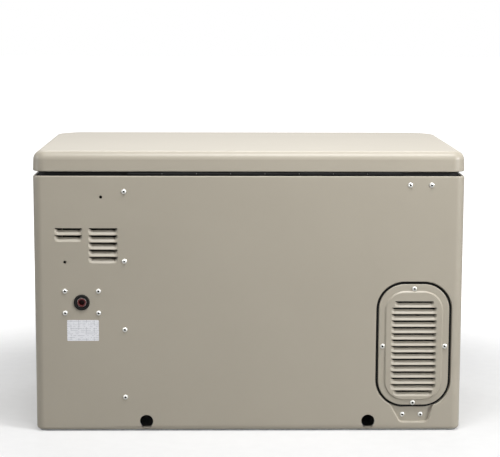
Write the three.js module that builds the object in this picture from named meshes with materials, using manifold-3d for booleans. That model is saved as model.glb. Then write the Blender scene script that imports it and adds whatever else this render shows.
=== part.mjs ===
// Home standby generator: a weatherproof sheet-metal case with a hinged lid and a pull-off front
// panel, built round an air-cooled V-twin engine that drives an alternator on one shaft.
// Millimetres, +Z up. The origin is the centre of the base's underside. -Y is the rear, the side
// with the gas inlet, and +Y is the front, the side that is opened for service.
import * as THREE from "three";
import { mergeVertices } from "three/addons/utils/BufferGeometryUtils.js";
import Module from "manifold-3d";

const wasm = await Module();
wasm.setup();

// ---- driving dimensions -------------------------------------------------------------------
const WIDTH = 1219; // 48 in
const DEPTH = 665;
const BODY_TOP = 738;
const LID_BOTTOM = 750.5;
const LID_TOP = 808;
const SHEET = 2.5; // panel thickness
const CORNER_R = 25; // vertical corners of the case
const SKIRT_R = 9; // roll of the panels' bottom edge
const SKIRT_Z = 4; // panels hang this far above the floor
const TOP_FLANGE = 8; // panels' top edge turned inwards
const WRAP = 60; // rear and front panels wrap this far round the corners
const SEAM = 2; // gap between neighbouring panels
const GAP = 0.3; // gap between pieces that touch

const LID_OVERHANG = 1;
const LID_CORNER_R = 36;
const LID_RIM_R = 25;
const LID_FRONT_GROWTH = 75; // the rim widens this much round the lid's front corners
const LID_FLANGE = 25;

const BAY_LEFT = -353; // partition between the electrical bay and the engine bay
const BAY_RIGHT = 355; // partition between the engine bay and the exhaust bay
const CRANK_Z = 300;
const TRAY_TOP = 62;
const FRAME_INSET = 13;
const FRAME_W = 22;
const FRAME_Z = 700;
const FRAME_TOP = LID_BOTTOM - GAP;

const LIFT_HOLES = [-293, 343.7]; // x of the lifting-bar holes
const LIFT_Z = 29;
const LIFT_R = 19;

const HALF_W = WIDTH / 2;
const HALF_D = DEPTH / 2;

// ---- materials ----------------------------------------------------------------------------
const paint = (color, roughness, metalness) =>
  new THREE.MeshStandardMaterial({ color, roughness, metalness });
const FINISH = {
  caseCoat: paint(0xb1a999, 0.5, 0.1),
  blackCoat: paint(0x1c1c1d, 0.6, 0.1),
  galvanised: paint(0x9da1a4, 0.45, 0.9),
  zinc: paint(0xd6d6d2, 0.3, 1),
  castAlloy: paint(0x9b9da0, 0.5, 0.85),
  rubber: paint(0x141414, 0.8, 0),
  plastic: paint(0x222426, 0.5, 0),
  redPlastic: paint(0x9c1f1c, 0.4, 0),
  yellowPlastic: paint(0xd9a514, 0.4, 0),
  greenPlastic: paint(0x2c7a3e, 0.4, 0),
  label: paint(0xe9eaec, 0.5, 0),
  copper: paint(0x9a4a22, 0.5, 0.4),
  aluminised: paint(0x8e8d88, 0.55, 0.8),
  filterPaint: paint(0x1f3f6b, 0.4, 0.1),
};

// ---- solids -------------------------------------------------------------------------------
function solid(geometry) {
  geometry.deleteAttribute("normal");
  geometry.deleteAttribute("uv");
  const merged = mergeVertices(geometry, 1e-4);
  return new wasm.Manifold(
    new wasm.Mesh({
      numProp: 3,
      vertProperties: new Float32Array(merged.attributes.position.array),
      triVerts: new Uint32Array(merged.index.array),
    }),
  );
}

function geometryOf(body) {
  const mesh = body.getMesh();
  const geometry = new THREE.BufferGeometry();
  geometry.setAttribute("position", new THREE.BufferAttribute(mesh.vertProperties, 3));
  geometry.setIndex(new THREE.BufferAttribute(mesh.triVerts, 1));
  geometry.computeVertexNormals();
  return geometry;
}

const join = (...bodies) => bodies.reduce((sum, body) => sum.add(body));
const cut = (body, ...tools) => tools.reduce((rest, tool) => rest.subtract(tool), body);

function box(x0, x1, y0, y1, z0, z1) {
  const geometry = new THREE.BoxGeometry(x1 - x0, y1 - y0, z1 - z0);
  geometry.translate((x0 + x1) / 2, (y0 + y1) / 2, (z0 + z1) / 2);
  return solid(geometry);
}

const outline = (points) => new THREE.Shape(points.map(([u, v]) => new THREE.Vector2(u, v)));

function roundedRect(cu, cv, w, h, r) {
  const shape = new THREE.Shape();
  const [u, v] = [w / 2 - r, h / 2 - r];
  shape.absarc(cu + u, cv - v, r, -Math.PI / 2, 0);
  shape.absarc(cu + u, cv + v, r, 0, Math.PI / 2);
  shape.absarc(cu - u, cv + v, r, Math.PI / 2, Math.PI);
  shape.absarc(cu - u, cv - v, r, Math.PI, 1.5 * Math.PI);
  return shape;
}

// An arc gets twice as many sides as curveSegments says.
function extrude(shape, depth, curveSegments = 3) {
  return new THREE.ExtrudeGeometry(shape, { depth, bevelEnabled: false, curveSegments });
}

// A prism along Y of an outline in x and z, and along X of one in y and z.
function prismY(shape, y0, y1, segments) {
  const geometry = extrude(shape, y1 - y0, segments);
  geometry.rotateX(Math.PI / 2);
  geometry.translate(0, y1, 0);
  return solid(geometry);
}

const AXES_X = new THREE.Matrix4().makeBasis(
  new THREE.Vector3(0, 1, 0),
  new THREE.Vector3(0, 0, 1),
  new THREE.Vector3(1, 0, 0),
);

function prismX(shape, x0, x1, segments) {
  const geometry = extrude(shape, x1 - x0, segments);
  geometry.applyMatrix4(AXES_X);
  geometry.translate(x0, 0, 0);
  return solid(geometry);
}

function cylinder(axis, r, from, to, cu, cv, sides = 20) {
  const geometry = new THREE.CylinderGeometry(r, r, to - from, sides);
  const middle = (from + to) / 2;
  if (axis === "x") geometry.rotateZ(-Math.PI / 2).translate(middle, cu, cv);
  if (axis === "y") geometry.translate(cu, middle, cv);
  if (axis === "z") geometry.rotateX(Math.PI / 2).translate(cu, cv, middle);
  return solid(geometry);
}

// A closed form through level rounded rectangles, lowest first: {z, inset}, all of one corner count.
// A level's frontGrowth is added to the radius of its two front corners.
function loft(halfX, halfY, cornerR, levels, steps = 5) {
  const points = [];
  for (const { z, inset, frontGrowth = 0 } of levels) {
    for (let corner = 0; corner < 4; corner++) {
      const sx = corner === 0 || corner === 3 ? 1 : -1;
      const sy = corner < 2 ? 1 : -1;
      const r = Math.max(cornerR - inset, 0.5) + (corner < 2 ? frontGrowth : 0);
      for (let i = 0; i <= steps; i++) {
        const a = ((corner + i / steps) * Math.PI) / 2;
        points.push(
          sx * (halfX - inset - r) + r * Math.cos(a),
          sy * (halfY - inset - r) + r * Math.sin(a),
          z,
        );
      }
    }
  }
  const ring = 4 * (steps + 1);
  const faces = [];
  for (let level = 0; level + 1 < levels.length; level++)
    for (let i = 0; i < ring; i++) {
      const [a, b] = [level * ring + i, level * ring + ((i + 1) % ring)];
      faces.push(a, b, b + ring, a, b + ring, a + ring);
    }
  const top = (levels.length - 1) * ring;
  for (let i = 1; i + 1 < ring; i++) {
    faces.push(0, i + 1, i);
    faces.push(top, top + i, top + i + 1);
  }
  const geometry = new THREE.BufferGeometry();
  geometry.setAttribute("position", new THREE.Float32BufferAttribute(points, 3));
  geometry.setIndex(faces);
  return solid(geometry);
}

// ---- the scene graph ------------------------------------------------------------------------
const generator = new THREE.Group();

function add(name, body, material) {
  const mesh = new THREE.Mesh(geometryOf(body), material);
  mesh.name = name;
  generator.add(mesh);
  return mesh;
}

// ---- pressed louvres ------------------------------------------------------------------------
// A louvre is pressed inwards: its blade slopes from the sheet at the bottom to LOUVRE_DEPTH at the
// slot along its top. It is made on the rear face, where "in" is +Y, and turned to the other sides.
const LOUVRE_DEPTH = 8;
const LOUVRE_RISE = 13;
const BLADE = 2;

function louvreCut(x0, x1, top, face = -HALF_D) {
  const foot = top - LOUVRE_RISE;
  const slope = LOUVRE_RISE / LOUVRE_DEPTH;
  return prismX(outline([[face - 1, foot - slope], [face + LOUVRE_DEPTH, top], [face - 1, top]]), x0, x1);
}

function louvreBlade(x0, x1, top, face = -HALF_D) {
  const foot = top - LOUVRE_RISE;
  const [reach, rise] = [LOUVRE_DEPTH * 0.8, LOUVRE_RISE * 0.8];
  const blade = outline([
    [face + 0.2, foot - 1],
    [face + BLADE, foot - 1],
    [face + reach + BLADE, foot + rise],
    [face + reach, foot + rise],
  ]);
  return prismX(blade, x0 + GAP, x1 - GAP);
}

function pressLouvres(sheet, rows, face) {
  let body = sheet;
  for (const [x0, x1, top] of rows) body = body.subtract(louvreCut(x0, x1, top, face));
  for (const [x0, x1, top] of rows) body = body.add(louvreBlade(x0, x1, top, face));
  return body;
}

const turned = (body, quarterTurns) => body.rotate([0, 0, 90 * quarterTurns]);

// A column of louvres, from its top slot down.
const louvreColumn = (x0, x1, top, count, pitch) =>
  Array.from({ length: count }, (_, i) => [x0, x1, top - i * pitch]);

// ---- case shell, then split into panels -----------------------------------------------------
function rolledLevels(roll, bottom, inset) {
  const steps = 3;
  return Array.from({ length: steps + 1 }, (_, i) => {
    const a = ((1 - i / steps) * Math.PI) / 2;
    return { z: bottom + roll * (1 - Math.sin(a)), inset: inset + roll * (1 - Math.cos(a)) };
  });
}

const innerRoll = SKIRT_R - SHEET;
const outer = loft(HALF_W, HALF_D, CORNER_R, [
  ...rolledLevels(SKIRT_R, SKIRT_Z, 0),
  { z: BODY_TOP, inset: 0 },
]);
const inner = loft(HALF_W, HALF_D, CORNER_R, [
  ...rolledLevels(innerRoll, SKIRT_Z + SHEET, SHEET),
  { z: BODY_TOP - SHEET, inset: SHEET },
]);
const mouth = (inset, z0, z1) =>
  loft(HALF_W, HALF_D, CORNER_R, [{ z: z0, inset }, { z: z1, inset }]);
const shell = cut(
  outer,
  inner,
  mouth(SKIRT_R, SKIRT_Z - 1, SKIRT_Z + SHEET + 0.5),
  mouth(TOP_FLANGE, BODY_TOP - SHEET - 1, BODY_TOP + 1),
);

const wrapY = HALF_D - WRAP;
const sideY = wrapY - SEAM;
const rearSheet = shell.intersect(box(-HALF_W - 1, HALF_W + 1, -HALF_D - 1, -wrapY, 0, BODY_TOP + 1));
const frontSheet = shell.intersect(box(-HALF_W - 1, HALF_W + 1, wrapY, HALF_D + 1, 0, BODY_TOP + 1));
const leftSheet = shell.intersect(box(-HALF_W - 1, -HALF_W + 60, -sideY, sideY, 0, BODY_TOP + 1));
const rightSheet = shell.intersect(box(HALF_W - 60, HALF_W + 1, -sideY, sideY, 0, BODY_TOP + 1));

const liftingHoles = LIFT_HOLES.map((x) =>
  cylinder("y", LIFT_R, -HALF_D - 20, HALF_D + 20, x, LIFT_Z, 24),
);

// ---- rear vent: an oval pocket in the rear panel, closed by a louvred plate -------------------
const VENT = { x: 471.5, z: 253, w: 211, h: 362, r: 78 };
const POCKET_DEPTH = 8;
const PLATE_MARGIN = 5; // gap from the pocket's wall to the plate's edge
const TAB = { top: 96, bottom: 29, topHalf: 53, bottomHalf: 39, x: 470 };
const VENT_SLOTS = 15;
const VENT_PITCH = 18.6;
const VENT_TOP_SLOT = 381;
const RAISED = { z: 250.6, w: 162, h: 315, r: 55, up: 4 };

const ovalShape = (grow) =>
  roundedRect(VENT.x, VENT.z, VENT.w + 2 * grow, VENT.h + 2 * grow, VENT.r + grow);
const tabShape = (grow) =>
  outline([
    [TAB.x - TAB.bottomHalf - grow, TAB.bottom - grow],
    [TAB.x + TAB.bottomHalf + grow, TAB.bottom - grow],
    [TAB.x + TAB.topHalf + grow, TAB.top],
    [TAB.x - TAB.topHalf - grow, TAB.top],
  ]);
const inward = (shape, from, to) => prismY(shape, -HALF_D + from, -HALF_D + to, 4);

const ventScrews = {
  top: [VENT.x, 416.5],
  bottom: [VENT.x, 84],
  left: [382.3, 249.5],
  right: [560.3, 249.5],
};
const TAB_DEPTH = 6;
const pocket = join(inward(ovalShape(0), -1, POCKET_DEPTH), inward(tabShape(0), -1, TAB_DEPTH));
const pocketSkin = cut(
  join(
    inward(ovalShape(SHEET), 0.2, POCKET_DEPTH + SHEET),
    inward(tabShape(SHEET), 0.2, TAB_DEPTH + SHEET),
  ),
  pocket,
  inward(roundedRect(VENT.x, VENT.z, 140, 290, 45), 0, 30),
);
const FUEL = { x: -474.5, z: 377 };
const SCREW_BORE = 3.2;

let rearPanel = join(cut(rearSheet, inward(ovalShape(0), -1, 4), inward(tabShape(0), -1, 4)), pocketSkin);
rearPanel = pressLouvres(rearPanel, [
  ...louvreColumn(-549, -471, 590, 2, 20.5),
  ...louvreColumn(-454, -371, 590, 5, 20.5),
]);
rearPanel = cut(
  rearPanel,
  ...liftingHoles,
  cylinder("y", 20, -HALF_D - 1, -HALF_D + 5, FUEL.x, FUEL.z, 24),
  cylinder("y", 3, -HALF_D - 1, -HALF_D + 5, -418, 678.5, 8),
  cylinder("y", 3, -HALF_D - 1, -HALF_D + 5, -521, 493, 8),
  ...Object.values(ventScrews).map(([x, z]) =>
    cylinder("y", SCREW_BORE, -HALF_D, -HALF_D + 14, x, z, 10),
  ),
);
add("rear_panel", rearPanel, FINISH.caseCoat);

const plateOut = 0.5; // plate's face, below the panel's face
const raisedShape = (shrink) =>
  roundedRect(VENT.x, RAISED.z, RAISED.w - 2 * shrink, RAISED.h - 2 * shrink, RAISED.r - shrink);
const plateEdge = cut(
  inward(ovalShape(-PLATE_MARGIN), plateOut, POCKET_DEPTH - GAP),
  inward(ovalShape(-PLATE_MARGIN - SHEET), plateOut + SHEET, POCKET_DEPTH),
  inward(raisedShape(SHEET), -1, POCKET_DEPTH + 1),
);
const plateField = cut(
  inward(raisedShape(0), plateOut - RAISED.up, plateOut + SHEET),
  inward(raisedShape(SHEET), plateOut - RAISED.up + SHEET, POCKET_DEPTH + 1),
);
const plate = join(plateEdge, plateField);
const slotHalf = (i) => (i === 0 || i === VENT_SLOTS - 1 ? 56 : 65);
const ventRows = Array.from({ length: VENT_SLOTS }, (_, i) => [
  VENT.x - slotHalf(i),
  VENT.x + slotHalf(i),
  VENT_TOP_SLOT - i * VENT_PITCH,
]);
const ventPlate = cut(
  pressLouvres(plate, ventRows, -HALF_D + plateOut - RAISED.up),
  ...Object.values(ventScrews).map(([x, z]) =>
    cylinder("y", SCREW_BORE, -HALF_D - 3, -HALF_D + 14, x, z, 10),
  ),
);
add("vent_plate", ventPlate, FINISH.caseCoat);

function screw(x, z, face, shank) {
  const head = cylinder("y", 6.5, face - 4, face, x, z, 14);
  const socket = cylinder("y", 2.6, face - 5, face - 2, x, z, 6);
  return cut(join(head, cylinder("y", 2.8, face - 0.5, face + shank, x, z, 8)), socket);
}
for (const [place, [x, z]] of Object.entries(ventScrews))
  add("vent_screw_" + place, screw(x, z, -HALF_D + plateOut - GAP, 12), FINISH.zinc);

// ---- side panels and front panel --------------------------------------------------------------
const SIDE_FACE = -HALF_W;
const SIDE_PITCH = 34; // louvre spacing on the sides and the front
const leftLouvres = [
  ...louvreColumn(-150, -20, 640, 6, SIDE_PITCH),
  ...louvreColumn(20, 150, 640, 6, SIDE_PITCH),
];
const rightLouvres = [
  ...louvreColumn(-190, -35, 420, 9, SIDE_PITCH),
  ...louvreColumn(35, 190, 420, 9, SIDE_PITCH),
];
// The left side is the rear turned a quarter turn clockwise, and the right side the other way.
const sidePanel = (sheet, louvres, turn) =>
  turned(pressLouvres(turned(sheet, turn), louvres, SIDE_FACE), -turn);
add("left_panel", sidePanel(leftSheet, leftLouvres, 1), FINISH.caseCoat);
add("right_panel", sidePanel(rightSheet, rightLouvres, -1), FINISH.caseCoat);

const LOCKS = [-400, 400];
const LOCK_Z = 712;
const frontLouvres = [
  ...louvreColumn(-500, -330, 330, 7, SIDE_PITCH),
  ...louvreColumn(330, 500, 330, 7, SIDE_PITCH),
];
const notch = (x) => box(x - 12, x + 48, HALF_D - 14, HALF_D - SHEET - 0.2, BODY_TOP - 8, BODY_TOP + 2);
const HANDLE_CUP = { z: 560, w: 150, h: 46, r: 20, depth: 22 };
const cup = (grow, from, to) =>
  prismY(
    roundedRect(0, HANDLE_CUP.z, HANDLE_CUP.w + 2 * grow, HANDLE_CUP.h + 2 * grow, HANDLE_CUP.r + grow),
    HALF_D - to,
    HALF_D - from,
  );
let frontPanel = turned(pressLouvres(turned(frontSheet, 2), frontLouvres), 2);
frontPanel = join(
  cut(frontPanel, cup(0, -1, 4)),
  cut(cup(SHEET, 0.2, HANDLE_CUP.depth + SHEET), cup(0, -1, HANDLE_CUP.depth)),
);
frontPanel = cut(
  frontPanel,
  ...liftingHoles,
  ...LOCKS.map((x) => cylinder("y", 10, HALF_D - 6, HALF_D + 1, x, LOCK_Z, 16)),
  ...LOCKS.map(notch),
);
add("front_panel", frontPanel, FINISH.caseCoat);

// ---- base tray with its lifting tubes and engine cross members ----------------------------------
const TRAY_X = HALF_W - SKIRT_R - 0.5;
const TRAY_Y = HALF_D - SKIRT_R - 0.5;
const TRAY_SHEET = 3;
const TUBE = 50;
const tube = (x) =>
  cut(
    box(x - TUBE / 2, x + TUBE / 2, -TRAY_Y, TRAY_Y, 0, TRAY_TOP - 8),
    box(
      x - TUBE / 2 + TRAY_SHEET, x + TUBE / 2 - TRAY_SHEET, -TRAY_Y - 1, TRAY_Y + 1,
      5, TRAY_TOP - 8 - TRAY_SHEET,
    ),
  );
const MOUNT_X = 230;
// A cross member stops short of the tray's walls, so its ends are open.
const MEMBER_Y = TRAY_Y - 25;
const crossMember = (x) =>
  cut(
    box(x - 30, x + 30, -MEMBER_Y, MEMBER_Y, 1, TRAY_TOP),
    box(x - 27, x + 27, -MEMBER_Y - 1, MEMBER_Y + 1, TRAY_SHEET, TRAY_TOP - TRAY_SHEET),
  );
const trayBlock = (inset, z0, z1) =>
  loft(TRAY_X, TRAY_Y, CORNER_R - SKIRT_R, [{ z: z0, inset }, { z: z1, inset }], 4);
const trayWalls = cut(
  trayBlock(0, 0, TRAY_TOP),
  trayBlock(TRAY_SHEET, TRAY_SHEET, TRAY_TOP + 1),
);
add(
  "base_tray",
  cut(
    join(trayWalls, ...LIFT_HOLES.map(tube), crossMember(-MOUNT_X), crossMember(MOUNT_X)),
    ...liftingHoles,
  ),
  FINISH.galvanised,
);

// ---- top frame, under the lid -------------------------------------------------------------------
const ring = (inset, z0, z1) =>
  loft(HALF_W, HALF_D, CORNER_R + 20, [{ z: z0, inset }, { z: z1, inset }], 4);
add(
  "top_frame",
  cut(ring(FRAME_INSET, FRAME_Z, FRAME_TOP), ring(FRAME_INSET + FRAME_W, FRAME_Z - 1, FRAME_TOP + 1)),
  FINISH.blackCoat,
);

// ---- partitions ---------------------------------------------------------------------------------
const PARTITION = 3;
const partitionY = HALF_D - 16;
const HOSE_CROSSING = [-140, 420];
const PIPE_CROSSING = [178, 330];
const wall = (x, ...holes) =>
  cut(
    join(
      box(x, x + PARTITION, -partitionY, partitionY, TRAY_TOP + GAP, FRAME_Z - GAP),
      box(x, x + 20, -partitionY, -partitionY + PARTITION, TRAY_TOP + GAP, FRAME_Z - GAP),
      box(x, x + 20, partitionY - PARTITION, partitionY, TRAY_TOP + GAP, FRAME_Z - GAP),
    ),
    ...holes.map(([y, z, r]) => cylinder("x", r, x - 1, x + 5, y, z, 16)),
  );
add("left_partition", wall(BAY_LEFT, [...HOSE_CROSSING, 18], [0, CRANK_Z, 90]), FINISH.galvanised);
add("right_partition", wall(BAY_RIGHT, [...PIPE_CROSSING, 32], [0, CRANK_Z, 110]), FINISH.galvanised);

// ---- lid and its continuous hinge -----------------------------------------------------------------
const LID_X = HALF_W + LID_OVERHANG;
const LID_Y = HALF_D + LID_OVERHANG;
const rimLevels = (roll, top, inset) =>
  Array.from({ length: 5 }, (_, i) => {
    const a = (i / 4) * (Math.PI / 2);
    const turned = 1 - Math.cos(a);
    const z = top - roll * (1 - Math.sin(a));
    return { z, inset: inset + roll * turned, frontGrowth: LID_FRONT_GROWTH * turned };
  });
const lidOuter = loft(LID_X, LID_Y, LID_CORNER_R, [
  { z: LID_BOTTOM, inset: 0 },
  ...rimLevels(LID_RIM_R, LID_TOP, 0),
]);
const lidHollow = loft(LID_X, LID_Y, LID_CORNER_R, [
  { z: LID_BOTTOM + SHEET, inset: SHEET },
  ...rimLevels(LID_RIM_R - SHEET, LID_TOP - SHEET, SHEET),
]);
const lidMouth = box(
  -LID_X + LID_FLANGE, LID_X - LID_FLANGE, -LID_Y + SHEET, LID_Y - LID_FLANGE,
  LID_BOTTOM - 1, LID_BOTTOM + SHEET + 1,
);
const STRIKER_Y = 320.3;
const PIN_Z = 736;
const striker = (x) =>
  join(
    box(x - 8, x + 8, STRIKER_Y, STRIKER_Y + 2, PIN_Z - 7, LID_BOTTOM + 1),
    cylinder("y", 3, STRIKER_Y + 1, STRIKER_Y + 8.5, x, PIN_Z, 12),
  );
add("lid", join(cut(lidOuter, lidHollow, lidMouth), ...LOCKS.map(striker)), FINISH.caseCoat);

const HINGE = { y: -327, z: 744.25, r: 4, x0: -342, x1: 430, knuckles: 8 };
const KNUCKLE = (HINGE.x1 - HINGE.x0) / HINGE.knuckles;
function hingeLeaf(first, plateY0, plateY1, z0, z1, relief) {
  const knuckleAt = (i, grow) => [HINGE.x0 + i * KNUCKLE - grow, HINGE.x0 + (i + 1) * KNUCKLE + grow];
  const own = [];
  const other = [];
  for (let i = 0; i < HINGE.knuckles; i++) {
    const mine = i % 2 === first;
    const [a, b] = knuckleAt(i, mine ? -0.4 : 0.4);
    if (mine) own.push(cylinder("x", HINGE.r, a, b, HINGE.y, HINGE.z, 12));
    else other.push(box(a, b, HINGE.y - 6, HINGE.y + 6.5, ...relief));
  }
  const plateBody = box(HINGE.x0 + 0.4, HINGE.x1 - 0.4, plateY0, plateY1, z0, z1);
  const bore = cylinder("x", 1.9, HINGE.x0 - 1, HINGE.x1 + 1, HINGE.y, HINGE.z, 10);
  return cut(join(cut(plateBody, ...other), ...own), bore);
}
const fixedLeaf = join(
  hingeLeaf(0, -323.6, -321.6, 726, HINGE.z, [739.8, 752]),
);
add("hinge_fixed_leaf", fixedLeaf, FINISH.blackCoat);
add("hinge_moving_leaf", hingeLeaf(1, -330.7, -329.2, HINGE.z, 772, [738, 748.8]), FINISH.blackCoat);
add("hinge_pin", cylinder("x", 1.5, HINGE.x0 + 0.5, HINGE.x1 - 0.5, HINGE.y, HINGE.z, 10), FINISH.zinc);

// ---- gas stay: the foot pivot, the hinge and the lid pivot are laid out as equal arms, so the
// cylinder swings through half of the lid's angle ---------------------------------------------------
const STAY_X = 558;
const ARM = 250;
const LID_PIVOT_ANGLE = Math.asin((756 - HINGE.z) / ARM);
const FOOT_ANGLE = LID_PIVOT_ANGLE - Math.PI / 3;
const onArm = (angle) => [HINGE.y + ARM * Math.cos(angle), HINGE.z + ARM * Math.sin(angle)];
const [lidPivotY, lidPivotZ] = onArm(LID_PIVOT_ANGLE);
const [footY, footZ] = onArm(FOOT_ANGLE);
const STAY_LENGTH = Math.hypot(lidPivotY - footY, lidPivotZ - footZ);
const STAY_TILT = Math.atan2(lidPivotZ - footZ, lidPivotY - footY);
const TUBE_END = 214;

// The stay is made lying along +Y from its foot pivot, then tilted into place.
const placeStay = (body) =>
  body.rotate([THREE.MathUtils.radToDeg(STAY_TILT), 0, 0]).translate([STAY_X, footY, footZ]);
// The lid opens 60 degrees, from 60 to 120 between the arms, and the rod comes out 183 mm.
const stayTube = cut(
  join(cylinder("y", 9, 8, TUBE_END, 0, 0, 16), cylinder("x", 9, -6, 6, 0, 0, 16)),
  cylinder("y", 4.6, 12, TUBE_END + 1, 0, 0, 12),
  cylinder("x", 4.4, -7, 7, 0, 0, 12),
);
const stayRod = join(
  cylinder("y", 4, 14, STAY_LENGTH - 3, 0, 0, 12),
  cylinder("x", 8, -6, 6, STAY_LENGTH, 0, 14),
  cylinder("x", 3.5, 5, 13, STAY_LENGTH, 0, 10),
);
add("stay_cylinder", placeStay(stayTube), FINISH.blackCoat);
add("stay_rod", placeStay(stayRod), FINISH.zinc);
add(
  "stay_foot_bracket",
  join(
    box(HALF_W - SHEET - GAP - 4, HALF_W - SHEET - GAP, footY - 22, footY + 22, footZ - 32, footZ + 32),
    cylinder("x", 10, STAY_X + 10, HALF_W - SHEET - GAP - 1, footY, footZ, 14),
    cylinder("x", 4, STAY_X - 9, STAY_X + 12, footY, footZ, 12),
  ),
  FINISH.zinc,
);
const LID_UNDERSIDE = LID_TOP - SHEET - GAP;
const bracketY = [lidPivotY - 22, lidPivotY + 14];
const SLOT_REACH = 13;
const slotEnd = LID_PIVOT_ANGLE + Math.PI * 1.25;
const SLOT_R = 6;
const slotShape = new THREE.Shape();
slotShape.absarc(lidPivotY, lidPivotZ, SLOT_R, slotEnd + Math.PI / 2, slotEnd + 1.5 * Math.PI);
slotShape.absarc(
  lidPivotY + SLOT_REACH * Math.cos(slotEnd),
  lidPivotZ + SLOT_REACH * Math.sin(slotEnd),
  SLOT_R,
  slotEnd - Math.PI / 2,
  slotEnd + Math.PI / 2,
);
const slot = prismX(slotShape, STAY_X, STAY_X + 20, 5);
add(
  "lid_stay_bracket",
  cut(
    join(
      box(STAY_X + 8, STAY_X + 11, ...bracketY, lidPivotZ - 20, LID_UNDERSIDE),
      box(STAY_X - 14, STAY_X + 11, ...bracketY, LID_UNDERSIDE - 3, LID_UNDERSIDE),
    ),
    slot,
  ),
  FINISH.zinc,
);

// ---- lid locks: a key barrel through the front panel with a hook that swings over the lid's pin ---
const HOOK_OPEN = 50; // degrees from locked, as it stands at rest
const HOOK = { arm: 6, back: 14, foot: 7, finger: 28.5, tip: 34, y0: 324, y1: 327 };
const BARREL_R = 9.5;
const FLANGE_R = 13;
const KEY_PLATE_Y = HALF_D + 6.5;
function lock(x) {
  const hookShape = outline([
    [-5, -HOOK.foot],
    [HOOK.back, -HOOK.foot],
    [HOOK.back, HOOK.tip],
    [-4, HOOK.tip],
    [-4, HOOK.finger],
    [HOOK.arm, HOOK.finger],
    [HOOK.arm, HOOK.arm],
    [-5, HOOK.arm],
  ]);
  const hook = prismY(hookShape, HOOK.y0, HOOK.y1);
  const opened = hook.rotate([0, HOOK_OPEN, 0]).translate([x, 0, LOCK_Z]);
  const key = box(x - 1.2, x + 1.2, KEY_PLATE_Y - 4, KEY_PLATE_Y + 1, LOCK_Z - 4, LOCK_Z + 4);
  return cut(
    join(
      cylinder("y", BARREL_R, HOOK.y1 - 1, HALF_D + 1, x, LOCK_Z, 16),
      cylinder("y", FLANGE_R, HALF_D + GAP, KEY_PLATE_Y, x, LOCK_Z, 20),
      opened,
    ),
    key,
  );
}
add("lock_left", lock(LOCKS[0]), FINISH.zinc);
add("lock_right", lock(LOCKS[1]), FINISH.zinc);

// ---- gas inlet ------------------------------------------------------------------------------------
const INLET = { rim: 22.7, neck: 19.6, bore: 14.6, pipe: 13.3, pipeBore: 10.4, length: 84 };
const PLUG = { r: 9.8, hollow: 7.6 };
const at = (r, y0, y1, sides) => cylinder("y", r, -HALF_D + y0, -HALF_D + y1, FUEL.x, FUEL.z, sides);
add(
  "fuel_grommet",
  cut(
    join(
      at(INLET.rim, -4, -GAP, 28),
      at(INLET.neck, -1, 4, 28),
      at(INLET.rim, SHEET + GAP, 6, 28),
    ),
    at(INLET.bore, -5, 7, 24),
  ),
  FINISH.rubber,
);
add(
  "fuel_inlet_pipe",
  cut(at(INLET.pipe, -3, INLET.length, 24), at(INLET.pipeBore, -4, INLET.length + 1, 20)),
  FINISH.zinc,
);
add(
  "fuel_plug",
  cut(
    join(at(INLET.pipe + GAP, -6.5, -3 - GAP, 24), at(PLUG.r, -4, 16, 20)),
    at(PLUG.hollow, -7, 13, 16),
  ),
  FINISH.redPlastic,
);
const VALVE = { half: 28, halfZ: 24, y0: -248, y1: -190, coilR: 22, coilTop: 74 };
const VALVE_Y = (VALVE.y0 + VALVE.y1) / 2;
add(
  "fuel_valve",
  join(
    cut(
      box(
        FUEL.x - VALVE.half, FUEL.x + VALVE.half, VALVE.y0, VALVE.y1,
        FUEL.z - VALVE.halfZ, FUEL.z + VALVE.halfZ,
      ),
      at(INLET.bore - 0.6, 70, INLET.length + 4, 16),
    ),
    cylinder("z", VALVE.coilR, FUEL.z + 20, FUEL.z + VALVE.coilTop, FUEL.x, VALVE_Y, 18),
  ),
  FINISH.castAlloy,
);
const REGULATOR = { flange: 64, bowl: 56, y0: -186, y1: -120, outletX: -420 };
add(
  "fuel_regulator",
  join(
    cylinder("y", REGULATOR.flange, REGULATOR.y0, REGULATOR.y0 + 26, FUEL.x, FUEL.z, 24),
    cylinder("y", REGULATOR.bowl, REGULATOR.y0 + 24, REGULATOR.y1, FUEL.x, FUEL.z, 24),
    cylinder("y", 12, VALVE.y1 + GAP, REGULATOR.y0 + 6, FUEL.x, FUEL.z, 12),
    cylinder("x", 13, FUEL.x, REGULATOR.outletX, HOSE_CROSSING[0], HOSE_CROSSING[1], 12),
  ),
  FINISH.castAlloy,
);

function sweep(points, r, steps, sides = 10) {
  const section = new THREE.Shape();
  section.absarc(0, 0, r, 0, 2 * Math.PI);
  const stops = points.map((p) => new THREE.Vector3(...p));
  const extrudePath = new THREE.CatmullRomCurve3(stops, false, "centripetal");
  const options = { steps, extrudePath, curveSegments: sides / 2, bevelEnabled: false };
  return solid(new THREE.ExtrudeGeometry(section, options));
}
const HOSE_END = 2; // gap at the end of a hose or pipe
const MIXER = { x0: 10, x1: 80, y: 30, z0: 418, z1: 470, runner: 57.5 };
add(
  "fuel_hose",
  sweep(
    [
      [REGULATOR.outletX + 0.5, ...HOSE_CROSSING],
      [-385, ...HOSE_CROSSING],
      [-330, ...HOSE_CROSSING],
      [-250, -125, 442],
      [-150, -80, 452],
      [-70, -30, 454],
      [-20, -12, 447],
      [MIXER.x0 - HOSE_END, -12, 445],
    ],
    10,
    36,
  ),
  FINISH.rubber,
);

// ---- data label -----------------------------------------------------------------------------------
add("data_label", box(-517, -427, -HALF_D - 0.8, -HALF_D - GAP, 265.5, 326), FINISH.label);

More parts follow.
